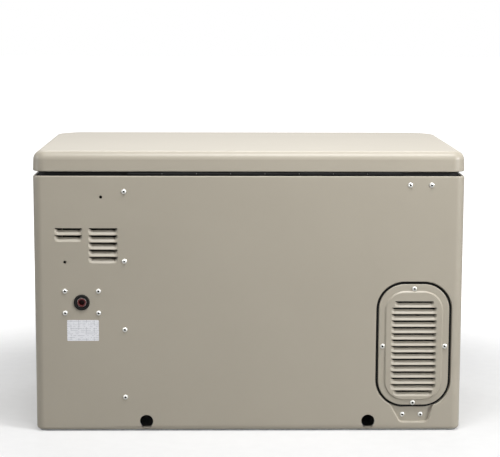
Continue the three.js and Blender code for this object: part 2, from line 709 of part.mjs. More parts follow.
// ---- engine ---------------------------------------------------------------------------------------
const ENGINE = { x0: -40, x1: 140, half: 115, cheek: 62 };
const SHAFT_R = 17;
const SUMP = { half: 140, bottom: 126, rim: 150, neck: 165 };
const crankProfile = outline([
  [-SUMP.half, SUMP.bottom],
  [SUMP.half, SUMP.bottom],
  [SUMP.half, SUMP.rim],
  [ENGINE.half, SUMP.neck],
  [ENGINE.half, CRANK_Z + ENGINE.cheek],
  [ENGINE.cheek, CRANK_Z + ENGINE.half],
  [-ENGINE.cheek, CRANK_Z + ENGINE.half],
  [-ENGINE.half, CRANK_Z + ENGINE.cheek],
  [-ENGINE.half, SUMP.neck],
  [-SUMP.half, SUMP.rim],
]);
const shaftBore = (r, x0, x1) => cylinder("x", r, x0, x1, 0, CRANK_Z, 20);
add(
  "engine_crankcase",
  cut(prismX(crankProfile, ENGINE.x0, ENGINE.x1), shaftBore(SHAFT_R + 1, -60, 160)),
  FINISH.castAlloy,
);

// One cylinder stands on the crank axis pointing up, then leans 45 degrees to its side.
const BARREL = { from: 125.4, to: 215, head: 262, cover: 292 };
function barrel(x) {
  const fins = [];
  for (let i = 0; i < 6; i++) {
    const z = BARREL.from + 8 + i * 14.5;
    fins.push(box(x - 56, x + 56, -51, 51, z, z + 6));
  }
  return join(
    box(x - 44, x + 44, -40, 40, BARREL.from, BARREL.to + 1),
    ...fins,
    box(x - 59, x + 59, -56, 56, BARREL.to, BARREL.head),
  );
}
const rockerLevels = [
  { z: BARREL.head + GAP, inset: 0 },
  { z: BARREL.cover - 8, inset: 0 },
  { z: BARREL.cover, inset: 8 },
];
const rocker = (x) => loft(54, 50, 18, rockerLevels, 4).translate([x, 0, 0]);
const lean = (body, side) => body.rotate([-45 * side, 0, 0]).translate([0, 0, CRANK_Z]);
const CYLINDERS = { front: { x: 20, side: 1 }, rear: { x: 72, side: -1 } };
for (const [place, { x, side }] of Object.entries(CYLINDERS)) {
  add("cylinder_" + place, lean(barrel(x), side), FINISH.castAlloy);
  add("rocker_cover_" + place, lean(rocker(x), side), FINISH.blackCoat);
}

const BLOWER = { x0: 142, x1: 250, r: 150 };
add(
  "blower_housing",
  cut(
    cylinder("x", BLOWER.r, BLOWER.x0, BLOWER.x1, 0, CRANK_Z, 32),
    cylinder("x", BLOWER.r - 4, BLOWER.x0 - 1, BLOWER.x1 - 4, 0, CRANK_Z, 32),
    cylinder("x", 96, BLOWER.x1 - 6, BLOWER.x1 + 1, 0, CRANK_Z, 28),
  ),
  FINISH.blackCoat,
);
add(
  "intake_mixer",
  join(
    box(MIXER.x0, MIXER.x1, -MIXER.y, MIXER.y, MIXER.z0, MIXER.z1),
    cylinder("y", 13, -MIXER.runner, MIXER.runner, 45, 437, 14),
  ),
  FINISH.castAlloy,
);
const CLEANER = {
  x: 25,
  halfX: 95,
  halfY: 84,
  r: 24,
  levels: [{ z: 0, inset: 0 }, { z: 62, inset: 0 }, { z: 80, inset: 14 }],
};
add(
  "air_cleaner",
  loft(CLEANER.halfX, CLEANER.halfY, CLEANER.r, CLEANER.levels)
    .translate([CLEANER.x, 0, MIXER.z1 + GAP]),
  FINISH.plastic,
);
add(
  "throttle_lever",
  join(
    cylinder("x", 7, MIXER.x1 + 0.4, MIXER.x1 + 4.4, 0, 447, 14),
    box(MIXER.x1 + 0.4, MIXER.x1 + 4.4, 0, 26, 443, 451),
  ),
  FINISH.zinc,
);
add("oil_filter", cylinder("y", 36, ENGINE.half + GAP, 205, 40, 228, 24), FINISH.filterPaint);
const DIPSTICK = { x: -12, z: 250, neck: 140, end: 152 };
add(
  "dipstick_cap",
  join(
    cylinder("y", 8, ENGINE.half + GAP, DIPSTICK.neck, DIPSTICK.x, DIPSTICK.z, 12),
    cylinder("y", 15, DIPSTICK.neck - 4, DIPSTICK.end, DIPSTICK.x, DIPSTICK.z, 8),
  ),
  FINISH.yellowPlastic,
);
const STARTER = { r: 34, x0: 10, x1: 132, y: -152, z: 218 };
const SOLENOID = { r: 16, x0: 40, x1: 118, y: -174, z: 258 };
add(
  "starter_motor",
  join(
    cylinder("x", STARTER.r, STARTER.x0, STARTER.x1, STARTER.y, STARTER.z, 20),
    cylinder("x", SOLENOID.r, SOLENOID.x0, SOLENOID.x1, SOLENOID.y, SOLENOID.z, 14),
  ),
  FINISH.blackCoat,
);

// ---- alternator and the one shaft -------------------------------------------------------------------
const STATOR = { x0: -290, x1: -62, r: 128, bore: 86, foot: 100 };
add(
  "alternator_stator",
  cut(
    join(
      cylinder("x", STATOR.r, STATOR.x0, STATOR.x1, 0, CRANK_Z, 32),
      box(STATOR.x0 + 30, STATOR.x1 - 40, -STATOR.foot, STATOR.foot, SUMP.bottom, CRANK_Z - 60),
    ),
    shaftBore(STATOR.bore, STATOR.x0 - 1, STATOR.x1 + 1),
  ),
  FINISH.castAlloy,
);
const bellLevels = [
  { z: 0, inset: 14 },
  { z: 16, inset: 0 },
  { z: 26, inset: 0 },
];
const VENT_CIRCLE = 66;
const endVents = Array.from({ length: 8 }, (_, i) => {
  const a = (i / 8) * 2 * Math.PI;
  const [y, z] = [VENT_CIRCLE * Math.cos(a), VENT_CIRCLE * Math.sin(a)];
  return cylinder("x", 15, -330, -280, y, CRANK_Z + z, 10);
});
add(
  "alternator_end_bell",
  cut(
    loft(STATOR.r, STATOR.r, STATOR.r - 0.5, bellLevels, 7)
      .rotate([0, 90, 0])
      .translate([STATOR.x0 - 26 - GAP, 0, CRANK_Z]),
    shaftBore(SHAFT_R + 1, -340, -280),
    ...endVents,
  ),
  FINISH.castAlloy,
);
const blades = Array.from({ length: 12 }, (_, i) =>
  box(168, 214, -3, 3, 70, 128).rotate([i * 30, 0, 0]).translate([0, 0, CRANK_Z]),
);
add(
  "rotor_assembly",
  join(
    shaftBore(SHAFT_R, -322, 230),
    shaftBore(STATOR.bore - 3, -270, -95),
    shaftBore(130, 150, 172),
    shaftBore(40, 170, 222),
    ...blades,
  ),
  FINISH.galvanised,
);

// ---- cradle and rubber mounts -------------------------------------------------------------------------
const RAIL_Z = [100, 125.5];
const MOUNT_Y = 120;
add(
  "cradle",
  join(
    ...[-MOUNT_Y, MOUNT_Y].map((y) => box(-275, 275, y - 20, y + 20, ...RAIL_Z)),
    ...[-MOUNT_X, 0, MOUNT_X].map((x) => box(x - 25, x + 25, -MOUNT_Y, MOUNT_Y, ...RAIL_Z)),
  ),
  FINISH.blackCoat,
);
let mountNumber = 0;
for (const x of [-MOUNT_X, MOUNT_X])
  for (const y of [-MOUNT_Y, MOUNT_Y])
    add(
      "rubber_mount_" + ++mountNumber,
      join(
        cylinder("z", 18, TRAY_TOP + GAP, RAIL_Z[0] - GAP, x, y, 16),
        cylinder("z", 26, TRAY_TOP + GAP, TRAY_TOP + 10, x, y, 18),
      ),
      FINISH.rubber,
    );

// ---- exhaust ---------------------------------------------------------------------------------------
const MUFFLER = { x: 472, y0: -190, y1: 210, z: 262, w: 150, h: 220, r: 70 };
const MUFFLER_WALL = 2;
const mufflerShape = (grow) =>
  roundedRect(MUFFLER.x, MUFFLER.z, MUFFLER.w + 2 * grow, MUFFLER.h + 2 * grow, MUFFLER.r + grow);
const seamRing = (y) => prismY(mufflerShape(4), y, y + 6);
const TAIL = { y: 60, z: 200, r: 24 };
add(
  "muffler",
  cut(
    join(
      prismY(mufflerShape(0), MUFFLER.y0, MUFFLER.y1),
      seamRing(MUFFLER.y0 + 4),
      seamRing(MUFFLER.y1 - 10),
      cylinder("x", TAIL.r, 520, 588, TAIL.y, TAIL.z, 18),
    ),
    prismY(mufflerShape(-MUFFLER_WALL), MUFFLER.y0 + MUFFLER_WALL, MUFFLER.y1 - MUFFLER_WALL),
    cylinder("x", TAIL.r - MUFFLER_WALL, 510, 590, TAIL.y, TAIL.z, 18),
  ),
  FINISH.aluminised,
);
add(
  "exhaust_pipe",
  sweep(
    [
      [84, 190, 428],
      [106, 190, 422],
      [134, 186, 378],
      [165, 179, 336],
      [215, ...PIPE_CROSSING],
      [MUFFLER.x - MUFFLER.w / 2 - HOSE_END, ...PIPE_CROSSING],
    ],
    20,
    22,
    12,
  ),
  FINISH.aluminised,
);

// ---- battery, control box and breaker -----------------------------------------------------------------
const BATTERY = { x0: -585, x1: -415, y0: 60, y1: 300, top: 232, lid: 205, lip: 5 };
const POST_Z = [BATTERY.top - 2, BATTERY.top + 16];
add(
  "battery",
  join(
    box(BATTERY.x0, BATTERY.x1, BATTERY.y0, BATTERY.y1, TRAY_TOP + GAP, BATTERY.top - 7),
    box(
      BATTERY.x0 - BATTERY.lip, BATTERY.x1 + BATTERY.lip,
      BATTERY.y0 - BATTERY.lip, BATTERY.y1 + BATTERY.lip,
      BATTERY.lid, BATTERY.top,
    ),
    cylinder("z", 9, ...POST_Z, BATTERY.x0 + 25, BATTERY.y0 + 30, 12),
    cylinder("z", 9, ...POST_Z, BATTERY.x1 - 25, BATTERY.y0 + 30, 12),
  ),
  FINISH.plastic,
);
const CONTROL = { x0: -568, x1: -366, y0: 70, y1: 288, z0: 500, top: 690 };
const CONTROL_WALL = 2;
add(
  "control_box",
  cut(
    box(CONTROL.x0, CONTROL.x1, CONTROL.y0, CONTROL.y1, CONTROL.z0, CONTROL.top),
    box(
      CONTROL.x0 + CONTROL_WALL, CONTROL.x1 - CONTROL_WALL,
      CONTROL.y0 + CONTROL_WALL, CONTROL.y1 - CONTROL_WALL,
      CONTROL.z0 + CONTROL_WALL, CONTROL.top + 1,
    ),
  ),
  FINISH.blackCoat,
);
const FASCIA = { z0: CONTROL.top + GAP, z1: CONTROL.top + 4.3 };
const BUTTONS = {
  off: [-545, FINISH.redPlastic],
  auto: [-515, FINISH.greenPlastic],
  run: [-485, FINISH.yellowPlastic],
};
const BUTTON_Y = 255;
const DISPLAY = { x0: -556, x1: -474, y0: 170, y1: 225 };
add(
  "control_fascia",
  cut(
    box(CONTROL.x0, CONTROL.x1, CONTROL.y0, CONTROL.y1, FASCIA.z0, FASCIA.z1),
    ...Object.values(BUTTONS).map(([x]) => cylinder("z", 10, 680, 700, x, BUTTON_Y, 20)),
    box(DISPLAY.x0, DISPLAY.x1, DISPLAY.y0, DISPLAY.y1, FASCIA.z1 - 1.5, FASCIA.z1 + 1),
  ),
  FINISH.plastic,
);
const buttonBody = (x) => cylinder("z", 9, FASCIA.z0 + 3, FASCIA.z1 + 6, x, BUTTON_Y, 20);
for (const [name, [x, finish]] of Object.entries(BUTTONS))
  add("button_" + name, buttonBody(x), finish);

const BREAKER = { x: -412, y: 200, z: FASCIA.z1 + GAP, top: 714, pivot: 709, r: 9 };
add(
  "breaker_body",
  cut(
    box(BREAKER.x - 26, BREAKER.x + 26, BREAKER.y - 42, BREAKER.y + 42, BREAKER.z, BREAKER.top),
    cylinder("x", BREAKER.r + 0.8, BREAKER.x - 11, BREAKER.x + 11, BREAKER.y, BREAKER.pivot, 20),
    prismX(
      outline([
        [BREAKER.y - 14, BREAKER.top + 1],
        [BREAKER.y - BREAKER.r, BREAKER.pivot],
        [BREAKER.y + BREAKER.r, BREAKER.pivot],
        [BREAKER.y + 14, BREAKER.top + 1],
      ]),
      BREAKER.x - 11,
      BREAKER.x + 11,
    ),
  ),
  FINISH.plastic,
);
const LEVER_REST = 30; // degrees from upright, towards the off end
const paddle = prismX(outline([[-4.5, 0], [4.5, 0], [3, 24], [-3, 24]]), BREAKER.x - 8, BREAKER.x + 8)
  .rotate([LEVER_REST, 0, 0])
  .translate([0, BREAKER.y, BREAKER.pivot]);
add(
  "breaker_lever",
  join(cylinder("x", BREAKER.r, BREAKER.x - 10, BREAKER.x + 10, BREAKER.y, BREAKER.pivot, 20), paddle),
  FINISH.plastic,
);

export default generator;
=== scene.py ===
import bmesh
import bpy
import math
from mathutils import Matrix, Vector
from mathutils.geometry import tessellate_polygon


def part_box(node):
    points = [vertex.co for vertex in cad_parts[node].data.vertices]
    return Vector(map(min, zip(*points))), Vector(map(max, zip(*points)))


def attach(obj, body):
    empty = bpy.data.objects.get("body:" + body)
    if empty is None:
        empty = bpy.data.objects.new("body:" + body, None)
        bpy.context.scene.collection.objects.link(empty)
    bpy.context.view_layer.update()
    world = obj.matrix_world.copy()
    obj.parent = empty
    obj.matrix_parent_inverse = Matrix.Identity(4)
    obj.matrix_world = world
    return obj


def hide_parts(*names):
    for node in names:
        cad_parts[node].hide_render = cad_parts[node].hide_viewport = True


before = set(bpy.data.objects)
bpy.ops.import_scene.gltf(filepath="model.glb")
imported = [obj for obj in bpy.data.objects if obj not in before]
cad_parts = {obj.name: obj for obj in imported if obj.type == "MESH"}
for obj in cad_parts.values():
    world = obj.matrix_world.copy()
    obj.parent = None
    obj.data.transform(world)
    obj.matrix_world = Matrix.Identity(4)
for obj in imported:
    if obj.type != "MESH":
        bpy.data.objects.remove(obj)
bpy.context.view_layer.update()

# ---- camera and stage -------------------------------------------------------------------------
# A long lens looks at the rear from a little above and a little left of the middle. The floor is
# a pale sweep, lit softly from above, from the right and in front, so the left side falls away.
MM = 0.001
EYE = Vector((-0.0717, -4.6533, 1.2228))
LOOK_DOWN = math.radians(8.337)
LOOK_RIGHT = math.radians(0.983)
HORIZON_TILT = math.radians(0.185)
LENS = 111.33
camera = bpy.data.objects.new("camera", bpy.data.cameras.new("camera"))
camera.data.lens = LENS
camera.data.sensor_width = 36
camera.data.clip_end = 100
aim = Vector((
    math.sin(LOOK_RIGHT) * math.cos(LOOK_DOWN),
    math.cos(LOOK_RIGHT) * math.cos(LOOK_DOWN),
    -math.sin(LOOK_DOWN),
))
level = aim.to_track_quat("-Z", "Y").to_matrix()
camera.matrix_world = Matrix.Translation(EYE) @ (level @ Matrix.Rotation(HORIZON_TILT, 3, "Z")).to_4x4()
bpy.context.scene.collection.objects.link(camera)
bpy.context.scene.camera = camera
bpy.context.scene.view_settings.view_transform = "Standard"


def linear(code):
    """The linear colour of an sRGB hex value."""
    parts = [int(code[i:i + 2], 16) / 255 for i in (0, 2, 4)]
    return [c / 12.92 if c <= 0.04045 else ((c + 0.055) / 1.055) ** 2.4 for c in parts] + [1.0]


def add_node(tree, kind, inputs=None, **settings):
    """One node with its settings. An input is a value, or another node's output to link from."""
    made = tree.nodes.new(kind)
    for name, value in settings.items():
        setattr(made, name, value)
    for socket, value in (inputs or {}).items():
        if isinstance(value, bpy.types.NodeSocket):
            tree.links.new(value, made.inputs[socket])
        else:
            made.inputs[socket].default_value = value
    return made


def new_material(name, **shader_values):
    """A material with its shader, and the object coordinates that its patterns read."""
    material = bpy.data.materials.new(name)
    material.use_nodes = True
    tree = material.node_tree
    shader = tree.nodes["Principled BSDF"]
    for socket, value in shader_values.items():
        shader.inputs[socket.replace("_", " ")].default_value = value
    place = add_node(tree, "ShaderNodeTexCoord").outputs["Object"]
    return material, tree, shader, place


def per_metre(size_mm):
    """The texture scale at which a pattern repeats every so many millimetres."""
    return 1 / (size_mm * MM)


def shade_between(tree, factor, socket, low, high):
    """Drives a shader colour between two hex colours."""
    mix = add_node(tree, "ShaderNodeMix", {0: factor, 6: linear(low), 7: linear(high)}, data_type="RGBA")
    tree.links.new(mix.outputs[2], socket)


def roughness_between(tree, factor, shader, low, high):
    spread = add_node(tree, "ShaderNodeMapRange", {"Value": factor, "To Min": low, "To Max": high})
    tree.links.new(spread.outputs["Result"], shader.inputs["Roughness"])


def bump_from(tree, height, shader, depth_mm, strength=1.0):
    bump = add_node(tree, "ShaderNodeBump", {
        "Height": height, "Distance": depth_mm * MM, "Strength": strength,
    })
    tree.links.new(bump.outputs["Normal"], shader.inputs["Normal"])


def mesh_object(name, made, smooth_angle=35):
    """An object from a bmesh, shaded smooth up to an angle, with its place in its mesh."""
    mesh = bpy.data.meshes.new(name)
    made.to_mesh(mesh)
    made.free()
    mesh.shade_smooth()
    mesh.set_sharp_from_angle(angle=math.radians(smooth_angle))
    piece = bpy.data.objects.new(name, mesh)
    bpy.context.scene.collection.objects.link(piece)
    return piece


def soft_light(name, place, target, size, watts):
    lamp = bpy.data.lights.new(name, "AREA")
    lamp.shape = "RECTANGLE"
    lamp.size, lamp.size_y = size
    lamp.energy = watts
    holder = bpy.data.objects.new(name, lamp)
    facing = (Vector(target) - Vector(place)).to_track_quat("-Z", "Y")
    holder.matrix_world = Matrix.Translation(place) @ facing.to_matrix().to_4x4()
    bpy.context.scene.collection.objects.link(holder)


soft_light("overhead", (0.3, -1.22, 3.1), (0.0, -0.2, 0.5), (2.0, 1.0), 92)
soft_light("right_side", (3.0, -2.2, 1.6), (0.0, -0.3, 0.45), (0.5, 0.7), 84)
soft_light("behind_top", (0.0, 1.9, 3.0), (0.0, 0.1, 0.8), (2.4, 0.9), 38)
soft_light("left_rim", (-2.6, -0.6, 1.2), (-0.6, -0.3, 0.4), (1.2, 1.4), 17)
world = bpy.data.worlds.new("studio")
world.use_nodes = True
# The room is white to look at and in reflections, and adds less than that as fill.
tree = world.node_tree
path = add_node(tree, "ShaderNodeLightPath").outputs
ROOM_FILL = 0.08
fill = add_node(tree, "ShaderNodeMapRange", {
    "Value": path["Is Diffuse Ray"], "To Min": 1.0, "To Max": ROOM_FILL,
})
tree.links.new(fill.outputs["Result"], tree.nodes["Background"].inputs["Strength"])
tree.nodes["Background"].inputs["Color"].default_value = (1, 1, 1, 1)
bpy.context.scene.world = world

FLOOR_HALF = 30
ground = bmesh.new()
bmesh.ops.create_grid(ground, x_segments=2, y_segments=2, size=FLOOR_HALF)
floor = mesh_object("floor", ground)
paper, tree, shader, place = new_material("seamless white paper", Roughness=0.9)
fibre = add_node(tree, "ShaderNodeTexNoise", {"Vector": place, "Scale": per_metre(40), "Detail": 3.0})
shade_between(tree, fibre.outputs["Fac"], shader.inputs["Base Color"], "b0b0b0", "b8b8b8")
# Lights in the sweep itself bring its far parts up to white. Close in, only soft shadows are left.
shader.inputs["Emission Color"].default_value = (1, 1, 1, 1)
GLOW_NEAR, GLOW_FAR = 0.32, 1.1
reach = add_node(tree, "ShaderNodeVectorMath", {0: place}, operation="LENGTH").outputs["Value"]
glow = add_node(tree, "ShaderNodeMapRange", {
    "Value": reach, "From Min": 0.8, "From Max": 2.4, "To Min": GLOW_NEAR, "To Max": GLOW_FAR,
}, interpolation_type="SMOOTHSTEP").outputs["Result"]
shown = add_node(tree, "ShaderNodeLightPath").outputs["Is Camera Ray"]
seen = add_node(tree, "ShaderNodeMath", {0: glow, 1: shown}, operation="MULTIPLY").outputs[0]
tree.links.new(seen, shader.inputs["Emission Strength"])
floor.data.materials.append(paper)

# ---- rear panel -------------------------------------------------------------------------------
# One pressing of 2 mm galvanised sheet, powder coated sand beige, that wraps both rear corners.
# Its lower edge is rolled under, its top edge is hemmed, and its louvres are pressed inwards.
sand, tree, shader, place = new_material("sand beige powder coat on steel", Metallic=0.0)
SAND_LOW, SAND_HIGH = "a29b8d", "a8a193"
drift = add_node(tree, "ShaderNodeTexNoise", {"Vector": place, "Scale": per_metre(260), "Detail": 4.0})
shade_between(tree, drift.outputs["Fac"], shader.inputs["Base Color"], SAND_LOW, SAND_HIGH)
# The coat's orange peel is about 1 mm across. It is drawn at 2.2 mm so that it shows.
peel = add_node(tree, "ShaderNodeTexNoise", {"Vector": place, "Scale": per_metre(2.2), "Detail": 2.0})
roughness_between(tree, peel.outputs["Fac"], shader, 0.34, 0.46)
bump_from(tree, peel.outputs["Fac"], shader, 0.06, 0.5)

SHEET = 2 * MM
ARC_STEPS = 8
SUPPORT = 2 * MM  # flat strip beside every bend, which keeps the flat faces' shading flat


def arc(centre, r, start, end, steps):
    """Points on an arc, in degrees, from start to end."""
    turns = [math.radians(start + (end - start) * i / steps) for i in range(steps + 1)]
    return [(centre[0] + r * math.cos(a), centre[1] + r * math.sin(a)) for a in turns]


def rounded_rect(cx, cz, w, h, r, steps=10):
    """A closed outline, counter-clockwise."""
    u, v = w / 2 - r, h / 2 - r
    return [
        *arc((cx + u, cz - v), r, -90, 0, steps),
        *arc((cx + u, cz + v), r, 0, 90, steps),
        *arc((cx - u, cz + v), r, 90, 180, steps),
        *arc((cx - u, cz - v), r, 180, 270, steps),
    ]


def circle(cx, cz, r, steps=32):
    return arc((cx, cz), r, 0, 360, steps)[:-1]


def grown(loop, by):
    """The outline moved outwards, square to itself."""
    moved = []
    for i, (u, v) in enumerate(loop):
        (pu, pv), (nu, nv) = loop[i - 1], loop[(i + 1) % len(loop)]
        along = Vector((nu - pu, nv - pv)).normalized()
        moved.append((u + along.y * by, v - along.x * by))
    return moved


def fill_flat(made, outer, holes, y):
    """A flat face at depth y inside one outline, with holes, facing -Y."""
    loops = [[Vector((u, v, 0)) for u, v in loop] for loop in (outer, *holes)]
    verts = [made.verts.new((p.x, y, p.y)) for loop in loops for p in loop]
    for a, b, c in tessellate_polygon(loops):
        u, v = verts[b].co - verts[a].co, verts[c].co - verts[a].co
        if u.cross(v).length < 1e-12:
            continue
        order = (a, b, c) if u.cross(v).y < 0 else (a, c, b)
        made.faces.new([verts[i] for i in order])


def fill_rings(made, outline, profile, y):
    """Bands between copies of an outline. The profile gives each one's growth and its depth."""
    rings = []
    for grow, depth in profile:
        rings.append([made.verts.new((u, y + depth, v)) for u, v in grown(outline, grow)])
    for outside, inside in zip(rings, rings[1:]):
        for i in range(len(outline)):
            j = (i + 1) % len(outline)
            made.faces.new((outside[i], outside[j], inside[j], inside[i]))


def pressed_wall(depth, shoulder_r, foot_r, lean=0.0, steps=5):
    """The profile of a pressed wall: a rounded shoulder, then a rounded foot, as (growth, depth)."""
    turns = [math.radians(90 * i / steps) for i in range(steps + 1)]
    shoulder = [(shoulder_r * (1 - math.sin(a)), shoulder_r * (1 - math.cos(a))) for a in turns]
    foot = [(-lean - foot_r * (1 - math.cos(a)), depth - foot_r * (1 - math.sin(a))) for a in turns]
    return shoulder + foot


def weld(made, distance=0.02 * MM):
    bmesh.ops.remove_doubles(made, verts=made.verts, dist=distance)


TRULY_FLAT = 0.9999995


def finish_sheet(name, made, material, thickness=SHEET):
    """Gives a welded open sheet its thickness, inwards, and leaves a plain mesh."""
    weld(made)
    piece = mesh_object(name, made, 24)
    piece.data.materials.append(material)
    wall = piece.modifiers.new("thickness", "SOLIDIFY")
    wall.thickness = thickness
    wall.offset = -1
    flats = piece.modifiers.new("flat faces shade flat", "WEIGHTED_NORMAL")
    flats.weight = 100
    flats.keep_sharp = True
    level_flats(apply_modifiers(piece).data)
    return piece


def level_flats(mesh):
    """Points each corner of a flat face straight out, so that long thin faces show no smear."""
    normals = [corner.vector.copy() for corner in mesh.corner_normals]
    for face in mesh.polygons:
        if max(abs(part) for part in face.normal) > TRULY_FLAT:
            for corner in face.loop_indices:
                normals[corner] = face.normal.copy()
    mesh.normals_split_custom_set(normals)


def apply_modifiers(piece):
    bpy.context.view_layer.update()
    plain = bpy.data.meshes.new_from_object(piece.evaluated_get(bpy.context.evaluated_depsgraph_get()))
    piece.modifiers.clear()
    piece.data = plain
    return piece


LOUVRE = {"Rise": 18.5 * MM, "Depth": 9 * MM, "End Fade": 8 * MM, "Drop": 6.2 * MM}
LOUVRE_CELLS = (28, 8)


def louvre_tree():
    """A bank of louvres: one sheared patch, repeated down a line. It faces -Y."""
    tree = bpy.data.node_groups.new("louvre_bank", "GeometryNodeTree")
    wanted = {"Width": 0.08, "Rise": 0.013, "Depth": 0.008, "Pitch": 0.02, "End Fade": 0.007, "Drop": 0.003}
    for name, value in wanted.items():
        socket = tree.interface.new_socket(name, in_out="INPUT", socket_type="NodeSocketFloat")
        socket.default_value = value
    tree.interface.new_socket("Count", in_out="INPUT", socket_type="NodeSocketInt")
    tree.interface.new_socket("Finish", in_out="INPUT", socket_type="NodeSocketMaterial")
    tree.interface.new_socket("Bank", in_out="OUTPUT", socket_type="NodeSocketGeometry")
    given = add_node(tree, "NodeGroupInput").outputs

    def maths(operation, a, b=0.0, c=0.0, **more):
        return add_node(tree, "ShaderNodeMath", {0: a, 1: b, 2: c}, operation=operation, **more).outputs[0]

    columns, rows = LOUVRE_CELLS
    grid = add_node(tree, "GeometryNodeMeshGrid", {
        "Size X": given["Width"], "Size Y": given["Rise"],
        "Vertices X": columns + 1, "Vertices Y": rows + 1,
    })
    at = add_node(tree, "ShaderNodeSeparateXYZ", {0: add_node(tree, "GeometryNodeInputPosition").outputs[0]})
    up = maths("ADD", maths("DIVIDE", at.outputs["Y"], given["Rise"]), 0.5)
    slope = maths("SUBTRACT", 1.0, maths("POWER", maths("SUBTRACT", 1.0, up), 1.3))
    from_end = maths("SUBTRACT", maths("MULTIPLY", given["Width"], 0.5), maths("ABSOLUTE", at.outputs["X"]))
    cheek = maths("SMOOTH_MIN", maths("DIVIDE", from_end, given["End Fade"]), 1.0, 0.15)
    pressed = maths("MULTIPLY", slope, cheek)
    fall = maths("MULTIPLY", pressed, maths("MULTIPLY", up, given["Drop"]))
    place = add_node(tree, "ShaderNodeCombineXYZ", {
        "X": at.outputs["X"],
        "Y": maths("MULTIPLY", pressed, given["Depth"]),
        "Z": maths("SUBTRACT", at.outputs["Y"], fall),
    })
    bent = add_node(tree, "GeometryNodeSetPosition", {
        "Geometry": grid.outputs["Mesh"], "Position": place.outputs[0],
    })
    step = add_node(tree, "ShaderNodeCombineXYZ", {"Z": maths("MULTIPLY", given["Pitch"], -1.0)})
    line = add_node(tree, "GeometryNodeMeshLine", {"Count": given["Count"], "Offset": step.outputs[0]})
    copies = add_node(tree, "GeometryNodeInstanceOnPoints", {
        "Points": line.outputs[0], "Instance": bent.outputs[0],
    })
    real = add_node(tree, "GeometryNodeRealizeInstances", {0: copies.outputs[0]})
    coated = add_node(tree, "GeometryNodeSetMaterial", {0: real.outputs[0], "Material": given["Finish"]})
    add_node(tree, "NodeGroupOutput", {0: coated.outputs[0]})
    return tree


def run_tree(tree, values, points=()):
    """The mesh that a geometry tree makes with these named inputs, on these points if it takes any."""
    start = bpy.data.meshes.new("maker")
    start.from_pydata([tuple(point) for point in points], [], [])
    holder = bpy.data.objects.new("maker", start)
    bpy.context.scene.collection.objects.link(holder)
    maker = holder.modifiers.new("maker", "NODES")
    maker.node_group = tree
    ids = {s.name: s.identifier for s in tree.interface.items_tree if s.in_out == "INPUT"}
    for name, value in values.items():
        maker[ids[name]] = value
    bpy.context.view_layer.update()
    mesh = bpy.data.meshes.new_from_object(holder.evaluated_get(bpy.context.evaluated_depsgraph_get()))
    bpy.data.objects.remove(holder)
    return mesh


louvres = louvre_tree()


def add_louvres(made, bank, y):
    """Adds a bank (x0, x1, top, count, pitch) to a sheet at depth y, and returns its holes."""
    x0, x1, top, count, pitch = bank
    rise = min(LOUVRE["Rise"], pitch - 1.6 * MM)
    values = {**LOUVRE, "Rise": rise, "Width": x1 - x0, "Pitch": pitch, "Count": count, "Finish": sand}
    mesh = run_tree(louvres, values)
    middle = Vector(((x0 + x1) / 2, y, top - rise / 2))
    mesh.transform(Matrix.Translation(middle))
    made.from_mesh(mesh)
    bpy.data.meshes.remove(mesh)
    columns, rows = LOUVRE_CELLS
    xs = [x0 + (x1 - x0) * i / columns for i in range(columns + 1)]
    holes = []
    for row in range(count):
        high = top - row * pitch
        zs = [high - rise * (1 - i / rows) for i in range(rows + 1)]
        holes.append([
            *[(x, zs[0]) for x in xs[:-1]],
            *[(xs[-1], z) for z in zs[:-1]],
            *[(x, zs[-1]) for x in xs[:0:-1]],
            *[(xs[0], z) for z in zs[:0:-1]],
        ])
    return holes


def wrapped_path(half_w, half_d, r, wrap):
    """A panel's plan from end to end: each point with the direction to the inside."""
    u, v = half_w - r, -half_d + r
    left = [(Vector((x, y)), (Vector((-u, v)) - Vector((x, y))).normalized())
            for x, y in arc((-u, v), r, 180, 270, ARC_STEPS)]
    wrap_end = (Vector((-half_w, -half_d + wrap)), Vector((1, 0)))
    flat = (Vector((-u + SUPPORT, -half_d)), Vector((0, 1)))
    half = [wrap_end, *left, flat]
    mirrored = [(Vector((-p.x, p.y)), Vector((-n.x, n.y))) for p, n in reversed(half)]
    return half + mirrored


def edge_profile(bottom, top, roll, hem, flange):
    """Heights up a panel with how far each is set in: rolled lower edge, plain wall, hemmed top."""
    lower = [(roll - dx, bottom + dz) for dx, dz in
             ((roll * math.sin(a), roll * (1 - math.cos(a))) for a in
              (math.radians(90 * i / 6) for i in range(7)))]
    upper = [(hem * (1 - math.cos(a)), top - hem + hem * math.sin(a))
             for a in (math.radians(90 * i / 5) for i in range(6))]
    return [*lower, (0, bottom + roll + SUPPORT), (0, top - hem - SUPPORT), *upper, (flange, top)]


def panel_sheet(made, path, profile, holes, y):
    """Sweeps the edge profile along the path, and fills the flat middle round its holes."""
    flat_i = len(path) // 2 - 1
    flat_j = next(j for j, (a, b) in enumerate(zip(profile, profile[1:])) if b[1] - a[1] > 0.3)
    grid = [[made.verts.new((*(p + n * inset), z)) for inset, z in profile] for p, n in path]
    for i in range(len(path) - 1):
        for j in range(len(profile) - 1):
            if (i, j) != (flat_i, flat_j):
                made.faces.new((grid[i][j], grid[i + 1][j], grid[i + 1][j + 1], grid[i][j + 1]))
    (left, _), (right, _) = path[flat_i], path[flat_i + 1]
    low, high = profile[flat_j][1], profile[flat_j + 1][1]
    outer = [(left.x, low), (right.x, low), (right.x, high), (left.x, high)]
    fill_flat(made, outer, holes, y)


